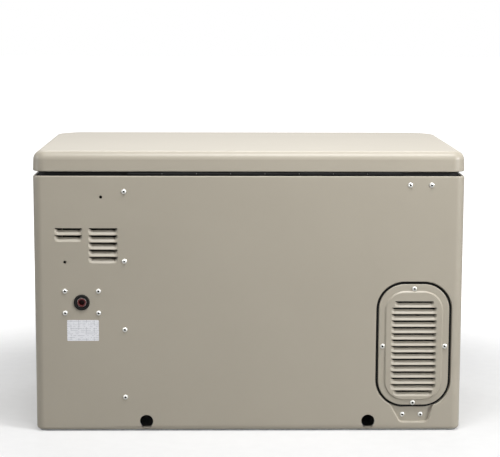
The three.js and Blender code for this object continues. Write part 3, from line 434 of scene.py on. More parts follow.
rear_low, rear_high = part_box("rear_panel")
HALF_W = rear_high.x
HALF_D = -rear_low.y
PANEL_BOTTOM, PANEL_TOP = rear_low.z, rear_high.z
CORNER_R = 25 * MM
ROLL_R = 9 * MM
HEM_R = 3 * MM
TOP_FLANGE = 8 * MM
WRAP = rear_high.y - rear_low.y
REAR = -HALF_D
EDGES = edge_profile(PANEL_BOTTOM, PANEL_TOP, ROLL_R, HEM_R, TOP_FLANGE)

plate_low, plate_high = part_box("vent_plate")
VENT_X = (plate_low.x + plate_high.x) / 2
VENT_Z = (plate_low.z + plate_high.z) / 2
PLATE_MARGIN = 7.5 * MM
PLATE_W = plate_high.x - plate_low.x
PLATE_H = plate_high.z - plate_low.z
OVAL_R = 80.5 * MM
POCKET_DEPTH = 9 * MM
TAB_BOTTOM = 26 * MM
TAB_X = VENT_X - 5 * MM
TAB_MOUTH = 55 * MM
TAB_FOOT = (-37 * MM, 53 * MM)
TAB_CORNER = 14 * MM


def pocket_outline():
    """The oval with the tab that hangs from it: one counter-clockwise outline."""
    oval = rounded_rect(VENT_X, VENT_Z, PLATE_W + 2 * PLATE_MARGIN, PLATE_H + 2 * PLATE_MARGIN, OVAL_R, 16)
    kept = [p for p in oval if p[1] > VENT_Z or abs(p[0] - TAB_X) > TAB_MOUTH + 1 * MM]
    start = next(i for i, p in enumerate(kept) if p[0] > VENT_X and kept[i - 1][0] < VENT_X)
    around = kept[start:] + kept[:start]
    reach = TAB_CORNER
    left = arc((TAB_X + TAB_FOOT[0] + reach, TAB_BOTTOM + reach), reach, 195, 270, 6)
    right = arc((TAB_X + TAB_FOOT[1] - reach, TAB_BOTTOM + reach), reach, 270, 355, 6)
    return [*left, *right, *around]


fuel_low, fuel_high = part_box("fuel_grommet")
FUEL_X = (fuel_low.x + fuel_high.x) / 2
FUEL_Z = (fuel_low.z + fuel_high.z) / 2
LIFT_X = (-293 * MM, 343.7 * MM)
LIFT_Z = 29 * MM
LIFT_R = 19 * MM
PILOT_HOLES = [(-418 * MM, 678.5 * MM), (-521 * MM, 493 * MM)]
LIP = [(SUPPORT, 0), (0.6 * MM, 0), (0.15 * MM, 0.25 * MM), (0, 0.8 * MM)]

rear = bmesh.new()
rear_holes = []
for bank in [
    (-549 * MM, -471 * MM, 590 * MM, 2, 20.5 * MM),
    (-454 * MM, -371 * MM, 590 * MM, 5, 20.5 * MM),
]:
    rear_holes += add_louvres(rear, bank, REAR)
for x in LIFT_X:
    opening = circle(x, LIFT_Z, LIFT_R)
    fill_rings(rear, opening, LIP, REAR)
    rear_holes.append(grown(opening, SUPPORT))
for x, z in PILOT_HOLES:
    rear_holes.append(circle(x, z, 4.4 * MM, 16))
rear_holes.append(circle(FUEL_X, FUEL_Z, 20 * MM))
pocket = pocket_outline()
wall = pressed_wall(POCKET_DEPTH, 2.6 * MM, 3 * MM)
fill_rings(rear, pocket, wall, REAR)
rear_holes.append(grown(pocket, wall[0][0]))
behind_plate = rounded_rect(VENT_X, VENT_Z, 140 * MM, 290 * MM, 45 * MM)
fill_flat(rear, grown(pocket, wall[-1][0]), [behind_plate], REAR + POCKET_DEPTH)
panel_sheet(rear, wrapped_path(HALF_W, HALF_D, CORNER_R, WRAP), EDGES, rear_holes, REAR)
rear_panel = finish_sheet("rear_panel_pressing", rear, sand)
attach(rear_panel, "case")
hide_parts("rear_panel")

# ---- vent plate -------------------------------------------------------------------------------
# The exhaust outlet's cover: a separate oval pressing in the same coat, with a raised field of
# fifteen louvres. It lies in the rear panel's pocket and is held by four screws.
PLATE_FACE = REAR + 0.5 * MM
FIELD_UP = -4 * MM
FIELD_Z = VENT_Z - 2.4 * MM
field = rounded_rect(VENT_X, FIELD_Z, 162 * MM, 315 * MM, 55 * MM, 12)
plate_edge = rounded_rect(VENT_X, VENT_Z, PLATE_W, PLATE_H, OVAL_R - PLATE_MARGIN, 16)
plate = bmesh.new()
EDGE_R = 2.4 * MM
edge_roll = [(0, 6.5 * MM)]
edge_roll += [(-EDGE_R * (1 - math.cos(a)), EDGE_R * (1 - math.sin(a)))
              for a in (math.radians(18 * i) for i in range(6))]
edge_roll.append((-EDGE_R - SUPPORT, 0))
fill_rings(plate, plate_edge, edge_roll, PLATE_FACE)
ogee = [(3.5 * MM, 0)]
ogee += [(2 * MM * math.cos(a), FIELD_UP * (1 - math.cos(a)) / 2)
         for a in (math.radians(20 * i) for i in range(10))]
ogee.append((-3.5 * MM, FIELD_UP))
fill_rings(plate, field, ogee, PLATE_FACE)
fill_flat(plate, grown(plate_edge, edge_roll[-1][0]), [grown(field, ogee[0][0])], PLATE_FACE)
VENT_ROWS = 15
VENT_PITCH = 18.6 * MM
VENT_TOP = 381 * MM
field_holes = []
for first, count, half in ((0, 1, 56 * MM), (1, VENT_ROWS - 2, 65 * MM), (VENT_ROWS - 1, 1, 56 * MM)):
    bank = (VENT_X - half, VENT_X + half, VENT_TOP - first * VENT_PITCH, count, VENT_PITCH)
    field_holes += add_louvres(plate, bank, PLATE_FACE + FIELD_UP)
fill_flat(plate, grown(field, ogee[-1][0]), field_holes, PLATE_FACE + FIELD_UP)
vent_plate = finish_sheet("vent_plate_pressing", plate, sand, 1.5 * MM)
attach(vent_plate, "case")
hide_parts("vent_plate")

# A black foam gasket seals the plate's edge against the pocket's floor. Its black ring, set deep in the gap,
# is painted shade: it makes the gap show dark.
rubber, tree, shader, place = new_material("black moulded rubber", Metallic=0.0, Specular_IOR_Level=0.22)
dusting = add_node(tree, "ShaderNodeTexNoise", {"Vector": place, "Scale": per_metre(12), "Detail": 4.0})
shade_between(tree, dusting.outputs["Fac"], shader.inputs["Base Color"], "0f0f0f", "1a1a19")
roughness_between(tree, dusting.outputs["Fac"], shader, 0.7, 0.85)
bump_from(tree, dusting.outputs["Fac"], shader, 0.1, 0.4)
gap_shade_gasket = bmesh.new()
GAP_SHADE_GASKET_TOP = 5.5 * MM
fill_rings(gap_shade_gasket, plate_edge, [
    (-7 * MM, POCKET_DEPTH), (-7 * MM, GAP_SHADE_GASKET_TOP + 3 * MM), (-2 * MM, GAP_SHADE_GASKET_TOP + 3 * MM),
    (-1.2 * MM, GAP_SHADE_GASKET_TOP), (5.4 * MM, GAP_SHADE_GASKET_TOP), (6.2 * MM, GAP_SHADE_GASKET_TOP + 0.8 * MM),
    (6.2 * MM, POCKET_DEPTH - 0.2 * MM), (-7 * MM, POCKET_DEPTH),
], REAR)
weld(gap_shade_gasket)
bmesh.ops.recalc_face_normals(gap_shade_gasket, faces=gap_shade_gasket.faces)
gap_shade_gasket = mesh_object("vent_plate_gasket", gap_shade_gasket)
gap_shade_gasket.data.materials.append(rubber)
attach(gap_shade_gasket, "case")

# ---- screws -----------------------------------------------------------------------------------
# Zinc-plated steel machine screws with a round flange and a hexagon socket. Four hold the vent
# plate, two the tab, four the inner wall, four the gas inlet's bracket and two the hinge's frame.
zinc, tree, shader, place = new_material("bright zinc plate on steel", Metallic=1.0)
bloom = add_node(tree, "ShaderNodeTexNoise", {"Vector": place, "Scale": per_metre(6), "Detail": 3.0})
shade_between(tree, bloom.outputs["Fac"], shader.inputs["Base Color"], "cfcfca", "f2f2ee")
roughness_between(tree, bloom.outputs["Fac"], shader, 0.24, 0.42)
bump_from(tree, bloom.outputs["Fac"], shader, 0.05, 0.4)
# The sockets are painted dark: painted shade in the hexagon recess, mixed over the zinc colour.
recess = add_node(tree, "ShaderNodeAttribute", attribute_name="recess").outputs["Fac"]
clean = shader.inputs["Base Color"].links[0].from_socket
socket_shade = add_node(tree, "ShaderNodeMix", {0: recess, 6: clean, 7: linear("1c1a17")}, data_type="RGBA")
tree.links.new(socket_shade.outputs[2], shader.inputs["Base Color"])


def revolve(made, profile, centre, sides=32, flat_sides=0, from_ring=0):
    """Turns (radius, depth) points about an axis along Y. Rings from from_ring on may be polygons."""
    rings = []
    for k, (r, depth) in enumerate(profile):
        ring = []
        for i in range(sides):
            a = 2 * math.pi * i / sides
            reach = r
            if flat_sides and k >= from_ring:
                half = math.pi / flat_sides
                reach = r * math.cos(half) / math.cos((a % (2 * half)) - half)
            ring.append(made.verts.new((
                centre[0] + reach * math.cos(a), centre[1] + depth, centre[2] + reach * math.sin(a),
            )))
        rings.append(ring)
    for outside, inside in zip(rings, rings[1:]):
        for i in range(sides):
            j = (i + 1) % sides
            made.faces.new((outside[i], outside[j], inside[j], inside[i]))
    made.faces.new(rings[-1])
    return rings


def closed(made):
    """Merges doubled points and turns every face outwards."""
    weld(made)
    bmesh.ops.recalc_face_normals(made, faces=made.faces)


FLANGE_R = 7.0 * MM
HEAD_R = 5.4 * MM
SOCKET_R = 3.3 * MM
head = bmesh.new()
recess_mark = head.verts.layers.float.new("recess")
head_profile = [
    (FLANGE_R - 0.3 * MM, 0), (FLANGE_R, -0.3 * MM), (FLANGE_R, -0.9 * MM), (FLANGE_R - 0.4 * MM, -1.2 * MM),
    (HEAD_R + 0.2 * MM, -1.4 * MM), (HEAD_R, -1.7 * MM), (HEAD_R - 0.3 * MM, -3.2 * MM),
    (HEAD_R - 1.2 * MM, -4.0 * MM), (SOCKET_R + 0.3 * MM, -4.2 * MM), (SOCKET_R, -4.0 * MM),
    (SOCKET_R * 0.97, -3.2 * MM), (SOCKET_R * 0.96, -0.6 * MM), (0.4 * MM, -0.4 * MM),
]
socket_rings = revolve(head, head_profile, (0, 0, 0), 36, 6, 9)[-3:]
# The socket's rings are marked, and the zinc material paints them dark as painted shade.
for vert in (vert for ring in socket_rings for vert in ring):
    vert[recess_mark] = 1.0
closed(head)
screw_head = mesh_object("screw_head_pattern", head, 30)


def scatter_tree():
    """Copies of one object on points, each turned by a random angle about the axis it faces along."""
    tree = bpy.data.node_groups.new("copies_on_points", "GeometryNodeTree")
    tree.interface.new_socket("Points", in_out="INPUT", socket_type="NodeSocketGeometry")
    tree.interface.new_socket("Copied", in_out="INPUT", socket_type="NodeSocketObject")
    tree.interface.new_socket("Finish", in_out="INPUT", socket_type="NodeSocketMaterial")
    tree.interface.new_socket("Axis", in_out="INPUT", socket_type="NodeSocketVector")
    seed = tree.interface.new_socket("Seed", in_out="INPUT", socket_type="NodeSocketInt")
    seed.default_value = 4
    tree.interface.new_socket("Copies", in_out="OUTPUT", socket_type="NodeSocketGeometry")
    given = add_node(tree, "NodeGroupInput").outputs
    copied = add_node(tree, "GeometryNodeObjectInfo", {"Object": given["Copied"]})
    turn = add_node(tree, "FunctionNodeRandomValue", {
        "Max": 2 * math.pi, "Seed": given["Seed"],
    }, data_type="FLOAT")
    spin = add_node(tree, "FunctionNodeAxisAngleToRotation", {
        "Axis": given["Axis"], "Angle": turn.outputs["Value"],
    })
    copies = add_node(tree, "GeometryNodeInstanceOnPoints", {
        "Points": given["Points"], "Instance": copied.outputs["Geometry"], "Rotation": spin.outputs[0],
    })
    real = add_node(tree, "GeometryNodeRealizeInstances", {0: copies.outputs[0]})
    plated = add_node(tree, "GeometryNodeSetMaterial", {0: real.outputs[0], "Material": given["Finish"]})
    add_node(tree, "NodeGroupOutput", {0: plated.outputs[0]})
    return tree


scatter = scatter_tree()


def place_copies(name, copied, finish, points, seed, axis=(0, -1, 0)):
    values = {"Copied": copied, "Finish": finish, "Seed": seed, "Axis": tuple(axis)}
    mesh = run_tree(scatter, values, points)
    piece = bpy.data.objects.new(name, mesh)
    bpy.context.scene.collection.objects.link(piece)
    return piece


def pattern(piece):
    """Takes a piece that is only copied out of the scene."""
    bpy.context.scene.collection.objects.unlink(piece)
    return piece


SCREW_NAMES = ["vent_screw_" + side for side in ("top", "bottom", "left", "right")]
pattern(screw_head)
vent_points = []
for node in SCREW_NAMES:
    low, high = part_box(node)
    vent_points.append(((low.x + high.x) / 2, PLATE_FACE, (low.z + high.z) / 2))
vent_screws = place_copies("vent_plate_screws", screw_head, zinc, vent_points, 3)
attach(vent_screws, "case")
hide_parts(*SCREW_NAMES)

WALL_SCREW_X = -352.8 * MM
INLET_SCREWS = [(dx * MM, dz * MM) for dx in (-47.5, 47.5) for dz in (-30.5, 32.5)]
panel_points = [
    *[(WALL_SCREW_X, REAR, z * MM) for z in (694, 495.5, 298, 101)],
    *[(FUEL_X + dx, REAR, FUEL_Z + dz) for dx, dz in INLET_SCREWS],
    *[(x * MM, REAR, 713.5 * MM) for x in (454.4, 514.5)],
    *[(x * MM, REAR + POCKET_DEPTH, 47.2 * MM) for x in (442.9, 495.4)],
]
panel_screws = place_copies("rear_panel_screws", screw_head, zinc, panel_points, 7)
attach(panel_screws, "case")

# ---- gas inlet --------------------------------------------------------------------------------
# A black rubber grommet lines the hole in the panel, round a zinc-plated steel pipe stub. A red
# moulded plastic cap closes the pipe until the gas line is fitted.
grommet = bmesh.new()
revolve(grommet, [
    (20 * MM, 3 * MM), (19.8 * MM, -0.2 * MM), (22.2 * MM, -0.4 * MM), (22.7 * MM, -1.2 * MM),
    (22.3 * MM, -2.8 * MM), (20.6 * MM, -4.2 * MM), (18.6 * MM, -4.6 * MM), (16.4 * MM, -4.0 * MM),
    (15.0 * MM, -2.4 * MM), (14.6 * MM, 0), (14.6 * MM, 6 * MM), (14.4 * MM, 6 * MM),
], (FUEL_X, REAR, FUEL_Z), 48)
grommet.faces.ensure_lookup_table()
grommet.faces.remove(grommet.faces[-1])
closed(grommet)
grommet = mesh_object("inlet_grommet", grommet, 50)
grommet.data.materials.append(rubber)
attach(grommet, "case")
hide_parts("fuel_grommet")

red, tree, shader, place = new_material("red moulded polyethylene", Metallic=0.0)
pigment = add_node(tree, "ShaderNodeTexNoise", {"Vector": place, "Scale": per_metre(9), "Detail": 3.0})
shade_between(tree, pigment.outputs["Fac"], shader.inputs["Base Color"], "420b0a", "571210")
roughness_between(tree, pigment.outputs["Fac"], shader, 0.4, 0.55)
bump_from(tree, pigment.outputs["Fac"], shader, 0.05, 0.3)

cap = bmesh.new()
revolve(cap, [
    (9.8 * MM, 16 * MM), (9.8 * MM, -3.2 * MM), (12.2 * MM, -3.4 * MM), (12.6 * MM, -4.0 * MM),
    (12.4 * MM, -4.9 * MM), (11.4 * MM, -5.4 * MM), (9.0 * MM, -5.4 * MM), (8.1 * MM, -4.8 * MM),
    (7.7 * MM, -3 * MM), (7.3 * MM, 22 * MM), (0.5 * MM, 22.4 * MM),
], (FUEL_X, REAR, FUEL_Z), 40)
closed(cap)
cap = mesh_object("inlet_cap", cap, 40)
cap.data.materials.append(red)
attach(cap, "fuel_plug")
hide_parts("fuel_plug")

# ---- data label -------------------------------------------------------------------------------
# A printed polyester film with rounded corners, stuck to the panel. It carries a plain table of
# grey rules and blocks, with no lettering.
film, tree, shader, place = new_material("printed polyester film", Roughness=0.42)
label_low, label_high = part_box("data_label")
spot = add_node(tree, "ShaderNodeSeparateXYZ", {0: place})
LINE_PITCH = 5.2 * MM


def stripes(value, pitch, width):
    """1 on lines of one width, repeated at a pitch, and 0 between them."""
    turn = add_node(tree, "ShaderNodeMath", {0: value, 1: pitch}, operation="PINGPONG").outputs[0]
    return add_node(tree, "ShaderNodeMath", {0: turn, 1: width}, operation="LESS_THAN").outputs[0]


rules = stripes(spot.outputs["Z"], LINE_PITCH / 2, 0.45 * MM)
columns = stripes(spot.outputs["X"], 11 * MM, 0.4 * MM)
grain = add_node(tree, "ShaderNodeTexNoise", {"Vector": place, "Scale": per_metre(7), "Detail": 2.0})
FADED_ABOVE = 0.47
faded = add_node(tree, "ShaderNodeMath", {
    0: grain.outputs["Fac"], 1: FADED_ABOVE,
}, operation="GREATER_THAN").outputs[0]
both = add_node(tree, "ShaderNodeMath", {0: rules, 1: columns}, operation="MAXIMUM").outputs[0]
ink = add_node(tree, "ShaderNodeMath", {0: both, 1: faded}, operation="MULTIPLY").outputs[0]
shade_between(tree, ink, shader.inputs["Base Color"], "e6e7eb", "a9abb2")
bump_from(tree, grain.outputs["Fac"], shader, 0.02, 0.2)

label_w, label_h = label_high.x - label_low.x, label_high.z - label_low.z
outline = rounded_rect((label_low.x + label_high.x) / 2, (label_low.z + label_high.z) / 2,
                       label_w, label_h, 2.5 * MM, 5)
label = bmesh.new()
LABEL_FACE = -0.35 * MM
fill_rings(label, outline, [(0, 0), (0, LABEL_FACE + 0.08 * MM), (-0.1 * MM, LABEL_FACE)], REAR)
fill_flat(label, grown(outline, -0.1 * MM), [], REAR + LABEL_FACE)
label.faces.new([label.verts.new((x, REAR, z)) for x, z in outline])
closed(label)
label = mesh_object("label_film", label)
label.data.materials.append(film)
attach(label, "case")
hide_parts("data_label")

# ---- lid --------------------------------------------------------------------------------------
# One deep-drawn cover in the case's coat, with a broad rolled rim, a hemmed lower edge turned
# inwards and a flat top. It hinges along the rear.
_, lid_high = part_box("lid")
LID_BOTTOM = 750.5 * MM
LID_CORNER = 36 * MM
FRONT_GROWTH = 75 * MM  # the rim widens this much round the two front corners
LID_RIM = 25 * MM
DRAFT = 1.2 * MM


def plan_ring(half_w, half_d, r, front_growth=0, steps=14):
    """A closed rounded rectangle in plan, whose two front corners may have a larger radius."""
    ring = []
    for sx, sy, start in ((1, -1, 270), (1, 1, 0), (-1, 1, 90), (-1, -1, 180)):
        own = r + (front_growth if sy > 0 else 0)
        ring += arc((sx * (half_w - own), sy * (half_d - own)), own, start, start + 90, steps)
    return ring


lid_profile = [
    (22 * MM, LID_BOTTOM), (3 * MM, LID_BOTTOM),
    *[(3 * MM * (1 - math.sin(a)), LID_BOTTOM + 3 * MM * (1 - math.cos(a)))
      for a in (math.radians(22.5 * i) for i in range(1, 5))],
    (0.2 * MM, LID_BOTTOM + 6 * MM),
    (DRAFT, lid_high.z - LID_RIM - SUPPORT),
    *[(DRAFT + LID_RIM * (1 - math.cos(a)), lid_high.z - LID_RIM * (1 - math.sin(a)))
      for a in (math.radians(9 * i) for i in range(11))],
]
lid = bmesh.new()
levels = []
for inset, z in lid_profile:
    turned = max(inset - DRAFT, 0) / LID_RIM if z > LID_BOTTOM + LID_RIM / 2 else 0
    plan = plan_ring(lid_high.x - inset, lid_high.y - inset, max(LID_CORNER - inset, 1 * MM),
                     FRONT_GROWTH * turned)
    levels.append([lid.verts.new((x, y, z)) for x, y in plan])
for below, above in zip(levels, levels[1:]):
    for i in range(len(below)):
        j = (i + 1) % len(below)
        lid.faces.new((below[i], below[j], above[j], above[i]))
lid.faces.new(levels[-1])
lid_cover = finish_sheet("lid_pressing", lid, sand)

# The two strikers that the locks hook over are bent strips welded under the lid's front edge.
STRIKER_X = (-400 * MM, 400 * MM)
STRIKER_Y = (320.3 * MM, 322.3 * MM)
PIN_Z = 736 * MM
strikers = bmesh.new()
for x in STRIKER_X:
    half = 8 * MM
    bmesh.ops.create_cube(strikers, size=1, matrix=Matrix.Translation(
        (x, sum(STRIKER_Y) / 2, (PIN_Z - 7 * MM + LID_BOTTOM + 1 * MM) / 2)) @ Matrix.Diagonal(
        (2 * half, STRIKER_Y[1] - STRIKER_Y[0], LID_BOTTOM + 8 * MM - PIN_Z, 1)))
    revolve(strikers, [(0.2 * MM, 0), (3 * MM, 0), (3 * MM, 6.4 * MM), (2.4 * MM, 7 * MM)],
            (x, STRIKER_Y[1] - 0.5 * MM, PIN_Z), 20)
bmesh.ops.recalc_face_normals(strikers, faces=strikers.faces)
bmesh.ops.bevel(strikers, geom=[e for e in strikers.edges if e.calc_face_angle(0) > 0.6],
                offset=0.35 * MM, segments=2, affect="EDGES", profile=0.5)
strikers = mesh_object("lid_strikers", strikers)
strikers.data.materials.append(zinc)
for part, slot_name in ((lid_cover, "case_coat"), (strikers, "zinc")):
    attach(part, "lid")
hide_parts("lid")

# ---- side panels ------------------------------------------------------------------------------
# Flat pressings in the same coat between the rear and front wraps, each with banks of louvres:
# the intake on the left, and cooling air out on the right.
SIDE_PITCH = 34 * MM


def edge_straight(low, high):
    """A flat panel's plan, from end to end."""
    inward = Vector((0, 1))
    return [(Vector((x, -1.0)), inward) for x in (low, low + SUPPORT, high - SUPPORT, high)]


def turned_panel(name, node, path, face, banks, turn, openings=(), cups=None):
    """A panel made facing -Y at depth face, then turned about Z to its own side."""
    sheet = bmesh.new()
    holes = [hole for bank in banks for hole in add_louvres(sheet, bank, face)]
    for outline, rings in openings:
        fill_rings(sheet, outline, rings, face)
        holes.append(grown(outline, rings[0][0]))
    if cups:
        outline, rings = cups
        fill_flat(sheet, grown(outline, rings[-1][0]), [], face + rings[-1][1])
    panel_sheet(sheet, path, EDGES, holes, face)
    bmesh.ops.transform(sheet, matrix=Matrix.Rotation(math.radians(turn), 4, "Z"), verts=sheet.verts)
    piece = finish_sheet(name, sheet, sand)
    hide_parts(node)
    return piece


left_low, left_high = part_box("left_panel")
side_path = [(Vector((p.x, -HALF_W)), n) for p, n in edge_straight(left_low.y, left_high.y)]
SIDE_BANKS = {
    "left": [(x0 * MM, x1 * MM, 640 * MM, 6, SIDE_PITCH) for x0, x1 in ((-150, -20), (20, 150))],
    "right": [(x0 * MM, x1 * MM, 420 * MM, 9, SIDE_PITCH) for x0, x1 in ((-190, -35), (35, 190))],
}
for side, turn in (("left", -90), ("right", 90)):
    piece = turned_panel(f"{side}_side_pressing", f"{side}_panel", side_path, -HALF_W,
                         SIDE_BANKS[side], turn)
    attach(piece, "case")

# ---- front panel ------------------------------------------------------------------------------
# The service cover: one pressing that wraps both front corners, with louvres low on both sides,
# a finger cup to pull it off by, and holes for the two lock barrels and the lifting bars.
CUP = rounded_rect(0, 560 * MM, 150 * MM, 46 * MM, 20 * MM, 8)
CUP_DEPTH = 22 * MM
cup_rings = pressed_wall(CUP_DEPTH, 3 * MM, 4 * MM, 1 * MM)
LOCK_X = (-400 * MM, 400 * MM)
LOCK_Z = 712 * MM
front_openings = [(CUP, cup_rings)]
front_openings += [(circle(-x, LIFT_Z, LIFT_R), LIP) for x in LIFT_X]
front_openings += [(circle(x, LOCK_Z, 10 * MM), LIP) for x in LOCK_X]
front_banks = [(x0 * MM, x1 * MM, 330 * MM, 7, SIDE_PITCH) for x0, x1 in ((-500, -330), (330, 500))]
front = turned_panel("front_panel_pressing", "front_panel",
                     wrapped_path(HALF_W, HALF_D, CORNER_R, WRAP), REAR, front_banks, 180,
                     front_openings, (CUP, cup_rings))
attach(front, "front_panel")

# ---- finishes of the carried-over pieces --------------------------------------------------------
# Inner pieces keep the shapes they were cut to, with their edges broken as a press, a mould or a
# file leaves them. Each finish below is made once, at the first piece that wears it.


def softened(name, node, finish, edge_mm, body="case", round_off=0):
    """A copy of a node with its flat faces rejoined and its edges broken, which stands for it."""
    made = bmesh.new()
    made.from_mesh(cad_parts[node].data)
    weld(made)
    bmesh.ops.dissolve_limit(made, angle_limit=math.radians(1), verts=made.verts, edges=made.edges)
    piece = mesh_object(name, made, SOFT_SPLIT)
    piece.data.materials.clear()
    piece.data.materials.append(finish)
    if round_off:
        rounder = piece.modifiers.new("round section", "SUBSURF")
        rounder.levels = rounder.render_levels = round_off
    else:
        edges = piece.modifiers.new("broken edges", "BEVEL")
        edges.width = edge_mm * MM
        edges.segments = 2
        edges.limit_method = "ANGLE"
        edges.angle_limit = math.radians(SOFT_SPLIT)
        edges.harden_normals = True
    apply_modifiers(piece)
    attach(piece, body)
    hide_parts(node)
    return piece


SOFT_SPLIT = 38  # degrees, past which an edge is broken and shades sharp

# ---- top frame ----------------------------------------------------------------------------------
# A welded frame of black powder-coated steel stiffens the case under the lid, and shows as the
# dark band in the gap. A fine texture in the coat scatters its shine.
black_coat, tree, shader, place = new_material("black textured powder coat", Specular_IOR_Level=0.25)
grit = add_node(tree, "ShaderNodeTexNoise", {"Vector": place, "Scale": per_metre(1.6), "Detail": 2.0})
shade_between(tree, grit.outputs["Fac"], shader.inputs["Base Color"], "0d0d0e", "1b1b1c")
roughness_between(tree, grit.outputs["Fac"], shader, 0.55, 0.75)
bump_from(tree, grit.outputs["Fac"], shader, 0.12, 0.5)
softened("top_frame_welded", "top_frame", black_coat, 1.0)

# ---- outlet baffle ------------------------------------------------------------------------------
# A dished sheet of black-coated steel stands on four studs behind the outlet's louvres. It stops rain and
# hides the exhaust bay, and the outgoing air flows round its edge. Its black is also painted shade: it fills
# the view through the slots with dark.
BAFFLE_Y = REAR + POCKET_DEPTH + SHEET + 12 * MM
slot_shade_baffle = bmesh.new()
baffle_edge = rounded_rect(VENT_X, VENT_Z, 160 * MM, 310 * MM, 55 * MM, 8)
dish = [(0, 0), (0, 1.2 * MM), (-4 * MM, 1.2 * MM), (-10 * MM, 6 * MM)]
fill_rings(slot_shade_baffle, baffle_edge, dish, BAFFLE_Y)
fill_flat(slot_shade_baffle, grown(baffle_edge, dish[-1][0]), [], BAFFLE_Y + dish[-1][1])
slot_shade_baffle = finish_sheet("outlet_baffle", slot_shade_baffle, black_coat, 1.2 * MM)
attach(slot_shade_baffle, "case")
STUD_R = 2.8 * MM
STUD_FROM_MIDDLE = (62 * MM, 136 * MM)
FLOOR_BACK = REAR + POCKET_DEPTH + SHEET
stud = bmesh.new()
stud_length = BAFFLE_Y - FLOOR_BACK + 1 * MM
revolve(stud, [
    (STUD_R, 0), (STUD_R, stud_length - 0.5 * MM), (STUD_R - 0.5 * MM, stud_length),
    (0.4 * MM, stud_length),
], (0, 0, 0), 16, 0, 0)
closed(stud)
stud = pattern(mesh_object("baffle_stud_pattern", stud))
stud_out, stud_up = STUD_FROM_MIDDLE
stud_points = [(VENT_X + dx * stud_out, FLOOR_BACK - 0.5 * MM, VENT_Z + dz * stud_up)
               for dx in (-1, 1) for dz in (-1, 1)]
studs = place_copies("outlet_baffle_studs", stud, zinc, stud_points, 9)
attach(studs, "case")

# ---- base tray and inner walls ------------------------------------------------------------------
# Folded galvanised sheet: the tray with its lifting tubes, and the two walls that part the
# electrical bay, the engine bay and the exhaust bay. The zinc has frozen in spangles.
galvanised, tree, shader, place = new_material("hot-dip galvanised steel", Metallic=1.0)
SPANGLE_MM = 11
spangle = add_node(tree, "ShaderNodeTexVoronoi", {"Vector": place, "Scale": per_metre(SPANGLE_MM)})
tone = add_node(tree, "ShaderNodeSeparateColor", {0: spangle.outputs["Color"]}).outputs[0]
shade_between(tree, tone, shader.inputs["Base Color"], "96999b", "b3b6b8")
roughness_between(tree, tone, shader, 0.4, 0.54)
bump_from(tree, tone, shader, 0.02, 0.5)
for node in ("base_tray", "left_partition", "right_partition"):
    softened(node + "_folded", node, galvanised, 0.6)

# ---- bolts --------------------------------------------------------------------------------------
# Zinc-plated hexagon bolts with a flange hold the engine, the alternator and the cradle together.


def turned_pattern(name, profile, sides, flat_sides, first_flat, axis):
    """A revolved piece that faces along one axis, to be copied."""
    made = bmesh.new()
    revolve(made, profile, (0, 0, 0), sides, flat_sides, first_flat)
    closed(made)
    facing = Vector((0, -1, 0)).rotation_difference(Vector(axis)).to_matrix()
    bmesh.ops.transform(made, matrix=facing.to_4x4(), verts=made.verts)
    return pattern(mesh_object(name, made, 30))


BOLT = [
    (8.4 * MM, 0), (8.6 * MM, -0.6 * MM), (8.0 * MM, -1.6 * MM), (6.7 * MM, -1.8 * MM),
    (6.7 * MM, -6.6 * MM), (5.9 * MM, -7.2 * MM), (0.6 * MM, -7.2 * MM),
]


def bolts(name, spots, axis, seed=1, scale_profile=1.0):
    """Hexagon bolts at points given in millimetres, standing up along one axis."""
    sized = [(r * scale_profile, depth * scale_profile) for r, depth in BOLT]
    shape = turned_pattern(name + "_pattern", sized, 36, 6, 3, axis)
    points = [[c * MM for c in spot] for spot in spots]
    piece = place_copies(name, shape, zinc, points, seed, axis)
    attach(piece, "case")
    return piece


CRANK_Z = 300
SUMP_HALF, SUMP_BOLT_Z, SUMP_BOLT_X = 140, 138, (-22, 24, 72, 120)
for facing, side, seed in (("front", 1, 2), ("rear", -1, 3)):
    bolts(f"sump_bolts_{facing}", [(x, side * SUMP_HALF, SUMP_BOLT_Z) for x in SUMP_BOLT_X],
          (0, side, 0), seed)
BLOWER_FACE_X, BLOWER_BOLT_R = 250, 138
bolts("blower_bolts", [
    (BLOWER_FACE_X, BLOWER_BOLT_R * math.cos(a), CRANK_Z + BLOWER_BOLT_R * math.sin(a))
    for a in (math.radians(30 + 60 * i) for i in range(6))
], (1, 0, 0), seed=4, scale_profile=0.8)
BELL_FACE_X, BELL_BOLT_R = -316.3, 104
bolts("end_bell_bolts", [
    (BELL_FACE_X, BELL_BOLT_R * math.cos(a), CRANK_Z + BELL_BOLT_R * math.sin(a))
    for a in (math.radians(45 + 90 * i) for i in range(4))
], (-1, 0, 0), seed=5)
RAIL_Y, RAIL_TOP, RAIL_BOLT_X = 120, 125.5, 235
bolts("cradle_bolts", [(x, y, RAIL_TOP) for x in (-RAIL_BOLT_X, RAIL_BOLT_X) for y in (-RAIL_Y, RAIL_Y)],
      (0, 0, 1), seed=6, scale_profile=1.2)
WALL_BOLT_Y, WALL_BOLT_Z = (-290, 290), (90, 390, 670)
for facing, wall_x, side, seed in (("left", -353, -1, 7), ("right", 358, 1, 8)):
    bolts(f"wall_bolts_{facing}", [(wall_x, y, z) for y in WALL_BOLT_Y for z in WALL_BOLT_Z],
          (side, 0, 0), seed, scale_profile=0.7)

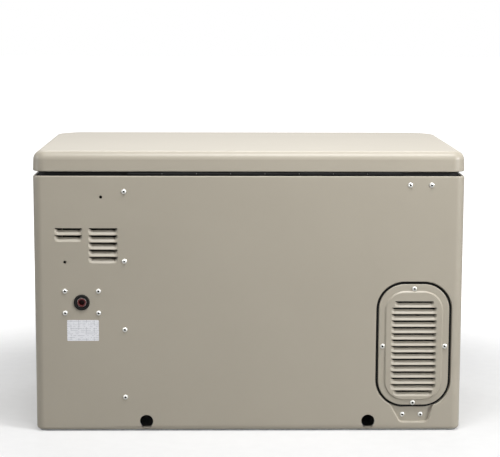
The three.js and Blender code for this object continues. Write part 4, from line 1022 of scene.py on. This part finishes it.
# ---- engine -------------------------------------------------------------------------------------
# A twin with its cylinders at a right angle: a die-cast aluminium crankcase, finned barrels and
# pressed rocker covers. The cast skin is matt and slightly grainy.
cast, tree, shader, place = new_material("die-cast aluminium", Metallic=0.9)
skin = add_node(tree, "ShaderNodeTexNoise", {"Vector": place, "Scale": per_metre(2.4), "Detail": 5.0})
stain = add_node(tree, "ShaderNodeTexNoise", {"Vector": place, "Scale": per_metre(70), "Detail": 3.0})
shade_between(tree, stain.outputs["Fac"], shader.inputs["Base Color"], "82837f", "a9aaa8")
roughness_between(tree, skin.outputs["Fac"], shader, 0.5, 0.72)
bump_from(tree, skin.outputs["Fac"], shader, 0.18, 0.6)
softened("crankcase_casting", "engine_crankcase", cast, 3.0)

FIN = {"pitch": 8.0, "thick": 2.6, "half": (56, 51), "corner": 14}
BARREL_FROM, BARREL_TO, HEAD_TOP = 125.4, 215, 262


def stack_tree():
    """Copies of one object in a straight line."""
    tree = bpy.data.node_groups.new("stack_of_copies", "GeometryNodeTree")
    for name, kind in (("Copied", "NodeSocketObject"), ("Count", "NodeSocketInt"),
                       ("Start", "NodeSocketVector"), ("Step", "NodeSocketVector"),
                       ("Finish", "NodeSocketMaterial")):
        tree.interface.new_socket(name, in_out="INPUT", socket_type=kind)
    tree.interface.new_socket("Stack", in_out="OUTPUT", socket_type="NodeSocketGeometry")
    given = add_node(tree, "NodeGroupInput").outputs
    copied = add_node(tree, "GeometryNodeObjectInfo", {"Object": given["Copied"]})
    line = add_node(tree, "GeometryNodeMeshLine", {
        "Count": given["Count"], "Start Location": given["Start"], "Offset": given["Step"],
    })
    copies = add_node(tree, "GeometryNodeInstanceOnPoints", {
        "Points": line.outputs[0], "Instance": copied.outputs["Geometry"],
    })
    real = add_node(tree, "GeometryNodeRealizeInstances", {0: copies.outputs[0]})
    coated = add_node(tree, "GeometryNodeSetMaterial", {0: real.outputs[0], "Material": given["Finish"]})
    add_node(tree, "NodeGroupOutput", {0: coated.outputs[0]})
    return tree


stack = stack_tree()


def slab(made, half_x, half_y, corner, z0, z1, edge):
    """A closed plate with rounded corners in plan and broken edges, in millimetres."""
    levels = [(edge, z0), (0, z0 + edge), (0, z1 - edge), (edge, z1)]
    rings = [[made.verts.new((x * MM, y * MM, z * MM))
              for x, y in plan_ring(half_x - inset, half_y - inset, corner - inset, 0, 4)]
             for inset, z in levels]
    for below, above in zip(rings, rings[1:]):
        for i in range(len(below)):
            j = (i + 1) % len(below)
            made.faces.new((below[i], below[j], above[j], above[i]))
    made.faces.new(rings[-1])
    made.faces.new(list(reversed(rings[0])))


fin = bmesh.new()
slab(fin, *FIN["half"], FIN["corner"], 0, FIN["thick"], 0.8)
fin = pattern(mesh_object("cooling_fin_pattern", fin))
fins_high = int((BARREL_TO - BARREL_FROM - 6) // FIN["pitch"])
fin_mesh = run_tree(stack, {
    "Copied": fin, "Count": fins_high, "Start": (0, 0, (BARREL_FROM + 6) * MM),
    "Step": (0, 0, FIN["pitch"] * MM), "Finish": cast,
})
for place_name, x, side in (("front", 20, 1), ("rear", 72, -1)):
    barrel = bmesh.new()
    barrel.from_mesh(fin_mesh)
    slab(barrel, 44, 40, 30, BARREL_FROM, BARREL_TO + 1, 0.8)
    slab(barrel, 59, 56, 12, BARREL_TO, HEAD_TOP - 22, 1.6)
    for level in range(3):
        slab(barrel, 59, 56, 14, HEAD_TOP - 19 + level * 6, HEAD_TOP - 16.4 + level * 6, 0.8)
    slab(barrel, 52, 48, 16, HEAD_TOP - 24, HEAD_TOP, 1.0)
    stand = Matrix.Translation((x * MM, 0, CRANK_Z * MM)) @ Matrix.Rotation(math.radians(-45 * side), 4, "X")
    bmesh.ops.transform(barrel, matrix=stand, verts=barrel.verts)
    barrel = mesh_object(f"cylinder_{place_name}_finned", barrel)
    barrel.data.materials.append(cast)
    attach(barrel, "case")
    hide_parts(f"cylinder_{place_name}")
    softened(f"rocker_cover_{place_name}_pressed", f"rocker_cover_{place_name}", black_coat,
             2.5)
    up = (stand.to_3x3() @ Vector((0, 0, 1))).normalized()
    spots = [stand @ Vector((dx * MM, dy * MM, 284.3 * MM)) for dx in (-47, 47) for dy in (-40, 40)]
    bolts(f"rocker_bolts_{place_name}", [[c / MM for c in spot] for spot in spots], up, seed=11,
          scale_profile=0.62)

# The oil filter is a drawn steel canister in gloss enamel, with flutes for the wrench at its end.
enamel, tree, shader, place = new_material("gloss enamel on drawn steel", Coat_Weight=0.3)
depth = add_node(tree, "ShaderNodeTexNoise", {"Vector": place, "Scale": per_metre(30), "Detail": 2.0})
shade_between(tree, depth.outputs["Fac"], shader.inputs["Base Color"], "1b3a5e", "24486f")
roughness_between(tree, depth.outputs["Fac"], shader, 0.22, 0.32)
canister = bmesh.new()
FILTER_AT = Vector((40, 115.3, 228)) * MM
revolve(canister, [
    (0.5 * MM, 0), (34 * MM, 0), (35.6 * MM, -0.8 * MM), (36 * MM, -2 * MM), (36 * MM, -5 * MM),
    (34.6 * MM, -6.4 * MM), (34.6 * MM, -62 * MM), (33.6 * MM, -66 * MM), (32.8 * MM, -68 * MM),
    (32.4 * MM, -82 * MM), (30 * MM, -86.6 * MM), (24 * MM, -89 * MM), (12 * MM, -89.6 * MM),
    (0.5 * MM, -89.6 * MM),
], (0, 0, 0), 56, 14, 8)
closed(canister)
bmesh.ops.transform(canister, matrix=Matrix.Translation(FILTER_AT) @
                    Matrix.Rotation(math.pi, 4, "Z"), verts=canister.verts)
canister = mesh_object("oil_filter_canister", canister, 30)
canister.data.materials.append(enamel)
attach(canister, "case")
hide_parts("oil_filter")



def coloured_plastic(name, cloud_mm, colours, roughness):
    """A moulded plastic whose colour and gloss drift a little, as the melt cooled."""
    material, tree, shader, place = new_material(name)
    drift = add_node(tree, "ShaderNodeTexNoise", {
        "Vector": place, "Scale": per_metre(cloud_mm), "Detail": 2.0,
    })
    shade_between(tree, drift.outputs["Fac"], shader.inputs["Base Color"], *colours)
    roughness_between(tree, drift.outputs["Fac"], shader, *roughness)
    return material


yellow = coloured_plastic("yellow moulded nylon", 8, ("c08a0d", "d8a31c"), (0.4, 0.55))
softened("dipstick_cap_moulded", "dipstick_cap", yellow, 1.2, "dipstick")
softened("starter_motor_cased", "starter_motor", black_coat, 2.0)
softened("mixer_casting", "intake_mixer", cast, 2.0)
softened("throttle_lever_pressed", "throttle_lever", zinc, 0.5, "throttle")

# ---- blower and its guard -----------------------------------------------------------------------
# The flywheel's fan draws air through a pressed housing. A spiral wire guard covers the inlet.
softened("blower_housing_pressed", "blower_housing", black_coat, 3.0)


def guard_tree():
    """A flat spiral of round wire, wound from its middle outwards."""
    tree = bpy.data.node_groups.new("spiral_wire_guard", "GeometryNodeTree")
    for name, value in (("Inner", 0.014), ("Outer", 0.1), ("Turns", 7.0), ("Wire", 0.0012)):
        socket = tree.interface.new_socket(name, in_out="INPUT", socket_type="NodeSocketFloat")
        socket.default_value = value
    tree.interface.new_socket("Finish", in_out="INPUT", socket_type="NodeSocketMaterial")
    tree.interface.new_socket("Guard", in_out="OUTPUT", socket_type="NodeSocketGeometry")
    given = add_node(tree, "NodeGroupInput").outputs
    wound = add_node(tree, "GeometryNodeCurveSpiral", {
        "Resolution": 40, "Rotations": given["Turns"], "Start Radius": given["Inner"],
        "End Radius": given["Outer"], "Height": 0.0,
    })
    section = add_node(tree, "GeometryNodeCurvePrimitiveCircle", {"Resolution": 8, "Radius": given["Wire"]})
    wire = add_node(tree, "GeometryNodeCurveToMesh", {
        "Curve": wound.outputs[0], "Profile Curve": section.outputs[0], "Fill Caps": True,
    })
    real = add_node(tree, "GeometryNodeRealizeInstances", {0: wire.outputs[0]})
    plated = add_node(tree, "GeometryNodeSetMaterial", {0: real.outputs[0], "Material": given["Finish"]})
    add_node(tree, "NodeGroupOutput", {0: plated.outputs[0]})
    return tree


GUARD_X = 251.6
guard_mesh = run_tree(guard_tree(), {"Finish": zinc, "Inner": 10 * MM, "Outer": 103 * MM, "Turns": 8.0})
SPOKE_R, SPOKE_LENGTH, SPOKE_BACK = 1.6 * MM, 214 * MM, 2.4 * MM
guard = bmesh.new()
guard.from_mesh(guard_mesh)
for turn in range(3):
    spoke = bmesh.ops.create_cone(guard, cap_ends=True, segments=8, radius1=SPOKE_R, radius2=SPOKE_R,
                                  depth=SPOKE_LENGTH)["verts"]
    bmesh.ops.transform(guard, verts=spoke, matrix=Matrix.Translation((0, 0, -SPOKE_BACK)) @
                        Matrix.Rotation(math.radians(60 * turn), 4, "Z") @
                        Matrix.Rotation(math.pi / 2, 4, "X"))
stand = Matrix.Translation((GUARD_X * MM + SPOKE_BACK, 0, CRANK_Z * MM))
stand @= Matrix.Rotation(math.pi / 2, 4, "Y")
bmesh.ops.transform(guard, verts=guard.verts, matrix=stand)
guard = mesh_object("blower_wire_guard", guard, 50)
guard.data.materials.append(zinc)
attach(guard, "case")

# ---- alternator and shaft -----------------------------------------------------------------------
# The stator is a stack of steel sheets in a cast shell, and shows as fine rings. The rotor, its
# shaft and the flywheel fan turn as one.
stacked, tree, shader, place = new_material("varnished lamination stack", Metallic=0.85)
along = add_node(tree, "ShaderNodeSeparateXYZ", {0: place}).outputs["X"]
# Sheets are half a millimetre thick. They are drawn 4 mm apart so that they show.
sheets = add_node(tree, "ShaderNodeMath", {0: along, 1: 2 * MM}, operation="PINGPONG").outputs[0]
ridge = add_node(tree, "ShaderNodeMapRange", {"Value": sheets, "From Max": 2 * MM})
smear = add_node(tree, "ShaderNodeTexNoise", {"Vector": place, "Scale": per_metre(45), "Detail": 4.0})
shade_between(tree, smear.outputs["Fac"], shader.inputs["Base Color"], "5d5f60", "87898a")
roughness_between(tree, smear.outputs["Fac"], shader, 0.42, 0.6)
bump_from(tree, ridge.outputs["Result"], shader, 0.5, 0.8)
softened("stator_stack", "alternator_stator", stacked, 2.0)
softened("end_bell_casting", "alternator_end_bell", cast, 1.2)
softened("rotor_and_fan", "rotor_assembly", galvanised, 0.8, "rotor")
softened("cradle_welded", "cradle", black_coat, 2.0)
for number in range(1, 5):
    softened(f"rubber_mount_{number}_moulded", f"rubber_mount_{number}", rubber, 2.0)

# ---- air cleaner --------------------------------------------------------------------------------
# A moulded black cover with nine ribs across its lid. Its skin has a fine grain from the mould.
moulded, tree, shader, place = new_material("black moulded ABS")
grain = add_node(tree, "ShaderNodeTexVoronoi", {"Vector": place, "Scale": per_metre(1.8)})
shade_between(tree, grain.outputs["Distance"], shader.inputs["Base Color"], "141516", "222325")
roughness_between(tree, grain.outputs["Distance"], shader, 0.42, 0.6)
bump_from(tree, grain.outputs["Distance"], shader, 0.06, 0.4)
softened("air_cleaner_cover", "air_cleaner", moulded, 3.0)
rib = bmesh.new()
slab(rib, 3, 62, 2.9, 0, 4, 1.2)
rib = pattern(mesh_object("cleaner_rib_pattern", rib))
rib_mesh = run_tree(stack, {
    "Copied": rib, "Count": 9, "Start": ((25 - 64) * MM, 0, 549.4 * MM),
    "Step": (16 * MM, 0, 0), "Finish": moulded,
})
ribs = bpy.data.objects.new("air_cleaner_ribs", rib_mesh)
bpy.context.scene.collection.objects.link(ribs)
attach(ribs, "case")

# ---- gas train and hose -------------------------------------------------------------------------
# The solenoid valve and the demand regulator are castings. A moulded rubber hose leads gas from
# the regulator through the wall to the mixer. Eight screws hold the regulator's cover.
softened("fuel_valve_casting", "fuel_valve", cast, 2.0)
softened("fuel_regulator_casting", "fuel_regulator", cast, 1.8)
softened("fuel_inlet_stub", "fuel_inlet_pipe", zinc, 0.5)
softened("fuel_hose_moulded", "fuel_hose", rubber, 0, round_off=1)
bolts("regulator_screws", [
    (-474.5 + 58 * math.cos(a), -160, 377 + 58 * math.sin(a))
    for a in (math.radians(22.5 + 45 * i) for i in range(8))
], (0, 1, 0), seed=12, scale_profile=0.5)

# ---- exhaust ------------------------------------------------------------------------------------
# Aluminised steel: a two-shell muffler with rolled seams and a bent pipe. Heat has tinted the
# pipe's end straw and brown where it meets the engine.
aluminised, tree, shader, place = new_material("aluminised steel, heat tinted", Metallic=1.0)
cloud = add_node(tree, "ShaderNodeTexNoise", {"Vector": place, "Scale": per_metre(28), "Detail": 5.0})
PORT = Vector((84, 190, 428)) * MM
away = add_node(tree, "ShaderNodeVectorMath", {0: place, 1: PORT}, operation="DISTANCE").outputs["Value"]
heat = add_node(tree, "ShaderNodeMapRange", {
    "Value": away, "From Min": 0.02, "From Max": 0.34, "To Min": 1.0, "To Max": 0.0,
}).outputs["Result"]
cool = add_node(tree, "ShaderNodeMix", {
    0: cloud.outputs["Fac"], 6: linear("8f9089"), 7: linear("bdbcb4"),
}, data_type="RGBA").outputs[2]
tinted = add_node(tree, "ShaderNodeMix", {0: heat, 6: cool, 7: linear("6e4f33")}, data_type="RGBA").outputs[2]
tree.links.new(tinted, shader.inputs["Base Color"])
roughness_between(tree, cloud.outputs["Fac"], shader, 0.34, 0.52)
bump_from(tree, cloud.outputs["Fac"], shader, 0.1, 0.3)
softened("muffler_shell", "muffler", aluminised, 1.0)
softened("exhaust_pipe_bent", "exhaust_pipe", aluminised, 0, round_off=1)

# ---- battery ------------------------------------------------------------------------------------
# A starting battery in a moulded polypropylene case, with six vent plugs and two covered posts.
softened("battery_case", "battery", moulded, 3.0)
plug = [(9 * MM, 0), (9 * MM, -2 * MM), (8 * MM, -3 * MM), (3 * MM, -3 * MM), (2.6 * MM, -1.6 * MM),
        (0.5 * MM, -1.6 * MM)]
vent_plug = turned_pattern("battery_plug_pattern", plug, 24, 0, 0, (0, 0, 1))
vent_points = [(-500 * MM, (110 + 33 * i) * MM, 232 * MM) for i in range(6)]
plugs = place_copies("battery_vent_plugs", vent_plug, moulded, vent_points, 5, (0, 0, 1))
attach(plugs, "case")
boot = [(13 * MM, 0), (13 * MM, -12 * MM), (11.6 * MM, -18 * MM), (8 * MM, -20.5 * MM), (0.5 * MM, -21 * MM)]
for boot_name, boot_finish, slot_name, x in (("positive", red, "red_plastic", -560),
                                             ("negative", rubber, "rubber", -440)):
    shape = turned_pattern(f"{boot_name}_boot_pattern", boot, 28, 0, 0, (0, 0, 1))
    cover = place_copies(f"battery_{boot_name}_boot", shape, boot_finish, [(x * MM, 90 * MM, 232 * MM)], 1,
                         (0, 0, 1))
    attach(cover, "case")

# ---- controls -----------------------------------------------------------------------------------
# A folded steel box carries a moulded fascia with a display window, three round push buttons and
# the main breaker. The window and the lamps are plain, with no lettering.
softened("control_box_folded", "control_box", black_coat, 0.7)
softened("control_fascia_moulded", "control_fascia", moulded, 0.8)
softened("breaker_body_moulded", "breaker_body", moulded, 1.0)
softened("breaker_lever_moulded", "breaker_lever", moulded, 1.0, "breaker_lever")

green = coloured_plastic("green moulded ABS", 6, ("1c6b34", "268343"), (0.3, 0.42))
signal_red = coloured_plastic("signal red moulded ABS", 6, ("94201b", "ad2a22"), (0.3, 0.42))
for button, finish, slot_name in (("off", signal_red, "red_plastic"), ("auto", green, "green_plastic"),
                                  ("run", yellow, "yellow_plastic")):
    softened(f"button_{button}_cap", f"button_{button}", finish, 1.6, f"button_{button}")

glass, tree, shader, place = new_material("matt display window", Specular_IOR_Level=0.3)
spot = add_node(tree, "ShaderNodeSeparateXYZ", {0: place})
cells = stripes(spot.outputs["X"], 2.6 * MM, 0.5 * MM)
rows = stripes(spot.outputs["Y"], 4.4 * MM, 0.7 * MM)
off_cell = add_node(tree, "ShaderNodeMath", {0: cells, 1: rows}, operation="MAXIMUM").outputs[0]
shade_between(tree, off_cell, shader.inputs["Base Color"], "3c4a36", "56664c")
roughness_between(tree, off_cell, shader, 0.5, 0.6)
window = bmesh.new()
slab(window, 39, 25.5, 3, 0, 1.0, 0.3)
WINDOW_AT = Vector((-515, 197.5, 692.9)) * MM
bmesh.ops.transform(window, matrix=Matrix.Translation(WINDOW_AT), verts=window.verts)
window = mesh_object("display_window", window)
window.data.materials.append(glass)
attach(window, "case")

LAMPS = {"ready": (-455, green, "green_plastic"), "service": (-442, yellow, "yellow_plastic"),
         "fault": (-429, signal_red, "red_plastic")}
dome = [(3 * MM, 0), (3 * MM, -0.8 * MM), (2.6 * MM, -1.8 * MM), (1.5 * MM, -2.5 * MM), (0.3 * MM, -2.7 * MM)]
for lamp, (x, finish, slot_name) in LAMPS.items():
    shape = turned_pattern(f"{lamp}_lamp_pattern", dome, 20, 0, 0, (0, 0, 1))
    lens = place_copies(f"{lamp}_lamp", shape, finish, [(x * MM, 255 * MM, 694.3 * MM)], 1, (0, 0, 1))
    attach(lens, "case")
bolts("fascia_screws", [(x, y, 694.3) for x in (-560, -374) for y in (78, 280)], (0, 0, 1), seed=13,
      scale_profile=0.4)

# ---- hinge, stay and locks ----------------------------------------------------------------------
# The lid turns on a continuous hinge of black-coated leaves and a plated pin. A gas stay holds it
# open: a black tube, a hard-chromed rod and plated brackets. Two key locks hold it shut.
softened("hinge_fixed_leaf_rolled", "hinge_fixed_leaf", black_coat, 0.3)
softened("hinge_moving_leaf_rolled", "hinge_moving_leaf", black_coat, 0.3, "lid")
softened("hinge_pin_plated", "hinge_pin", zinc, 0.3)
softened("stay_tube_coated", "stay_cylinder", black_coat, 0.8, "stay_cylinder")
softened("stay_rod_plated", "stay_rod", zinc, 0.5, "stay_rod")
softened("stay_foot_bracket_plated", "stay_foot_bracket", zinc, 0.4)
softened("lid_stay_bracket_plated", "lid_stay_bracket", zinc, 0.4, "lid")
for side in ("left", "right"):
    softened(f"lock_{side}_plated", f"lock_{side}", zinc, 0.5, f"lock_{side}")

# ---- sound lining -------------------------------------------------------------------------------
# Black convoluted polyurethane foam is glued under the lid and inside the service cover, to keep
# the engine's noise in.
foam, tree, shader, place = new_material("black polyurethane foam", Specular_IOR_Level=0.1)
cells = add_node(tree, "ShaderNodeTexVoronoi", {"Vector": place, "Scale": per_metre(2.2)})
shade_between(tree, cells.outputs["Distance"], shader.inputs["Base Color"], "131313", "2a2a29")
roughness_between(tree, cells.outputs["Distance"], shader, 0.85, 0.98)
bump_from(tree, cells.outputs["Distance"], shader, 0.5, 0.7)


def foam_tree():
    """A pad of convoluted foam, with its peaks on a square pitch, standing up from its back."""
    tree = bpy.data.node_groups.new("convoluted_foam", "GeometryNodeTree")
    for name, value in (("Length", 1.0), ("Width", 0.5), ("Pitch", 0.04), ("Peak", 0.006),
                        ("Base", 0.008)):
        socket = tree.interface.new_socket(name, in_out="INPUT", socket_type="NodeSocketFloat")
        socket.default_value = value
    for name in ("Columns", "Rows"):
        tree.interface.new_socket(name, in_out="INPUT", socket_type="NodeSocketInt")
    tree.interface.new_socket("Finish", in_out="INPUT", socket_type="NodeSocketMaterial")
    tree.interface.new_socket("Pad", in_out="OUTPUT", socket_type="NodeSocketGeometry")
    given = add_node(tree, "NodeGroupInput").outputs

    def maths(operation, a, b=0.0):
        return add_node(tree, "ShaderNodeMath", {0: a, 1: b}, operation=operation).outputs[0]

    grid = add_node(tree, "GeometryNodeMeshGrid", {
        "Size X": given["Length"], "Size Y": given["Width"],
        "Vertices X": given["Columns"], "Vertices Y": given["Rows"],
    })
    at = add_node(tree, "ShaderNodeSeparateXYZ", {0: add_node(tree, "GeometryNodeInputPosition").outputs[0]})
    turn = maths("DIVIDE", 2 * math.pi, given["Pitch"])
    waves = maths("MULTIPLY", maths("COSINE", maths("MULTIPLY", at.outputs["X"], turn)),
                  maths("COSINE", maths("MULTIPLY", at.outputs["Y"], turn)))
    edge_x = maths("SUBTRACT", maths("MULTIPLY", given["Length"], 0.5), maths("ABSOLUTE", at.outputs["X"]))
    edge_y = maths("SUBTRACT", maths("MULTIPLY", given["Width"], 0.5), maths("ABSOLUTE", at.outputs["Y"]))
    inside = maths("GREATER_THAN", maths("MINIMUM", edge_x, edge_y), 0.0001)
    height = maths("ADD", given["Base"], maths("MULTIPLY", waves, given["Peak"]))
    place = add_node(tree, "ShaderNodeCombineXYZ", {
        "X": at.outputs["X"], "Y": at.outputs["Y"], "Z": maths("MULTIPLY", height, inside),
    })
    waved = add_node(tree, "GeometryNodeSetPosition", {
        "Geometry": grid.outputs["Mesh"], "Position": place.outputs[0],
    })
    real = add_node(tree, "GeometryNodeRealizeInstances", {0: waved.outputs[0]})
    coated = add_node(tree, "GeometryNodeSetMaterial", {0: real.outputs[0], "Material": given["Finish"]})
    add_node(tree, "NodeGroupOutput", {0: coated.outputs[0]})
    return tree


foam_pad = foam_tree()
CELL = 5 * MM


def glue_foam(name, length, width, base, peak, pitch, stand, body):
    """A foam pad of this size, closed at its back, placed by a matrix."""
    mesh = run_tree(foam_pad, {
        "Length": length, "Width": width, "Pitch": pitch, "Peak": peak, "Base": base,
        "Columns": int(length / CELL), "Rows": int(width / CELL), "Finish": foam,
    })
    made = bmesh.new()
    made.from_mesh(mesh)
    rim = [edge for edge in made.edges if edge.is_boundary]
    bmesh.ops.contextual_create(made, geom=rim)
    bmesh.ops.recalc_face_normals(made, faces=made.faces)
    bmesh.ops.transform(made, matrix=stand, verts=made.verts)
    piece = mesh_object(name, made, 60)
    piece.data.materials.append(foam)
    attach(piece, body)
    return piece


LID_CEILING = 805.2 * MM
glue_foam("lid_foam", 1.06, 0.5, 12 * MM, 7 * MM, 44 * MM,
          Matrix.Translation((-0.03, 0.0, LID_CEILING)) @ Matrix.Rotation(math.pi, 4, "X"), "lid")
glue_foam("service_cover_foam", 0.64, 0.42, 5 * MM, 3.6 * MM, 40 * MM,
          Matrix.Translation((0, 329.6 * MM, 0.31)) @ Matrix.Rotation(math.radians(90), 4, "X"),
          "front_panel")
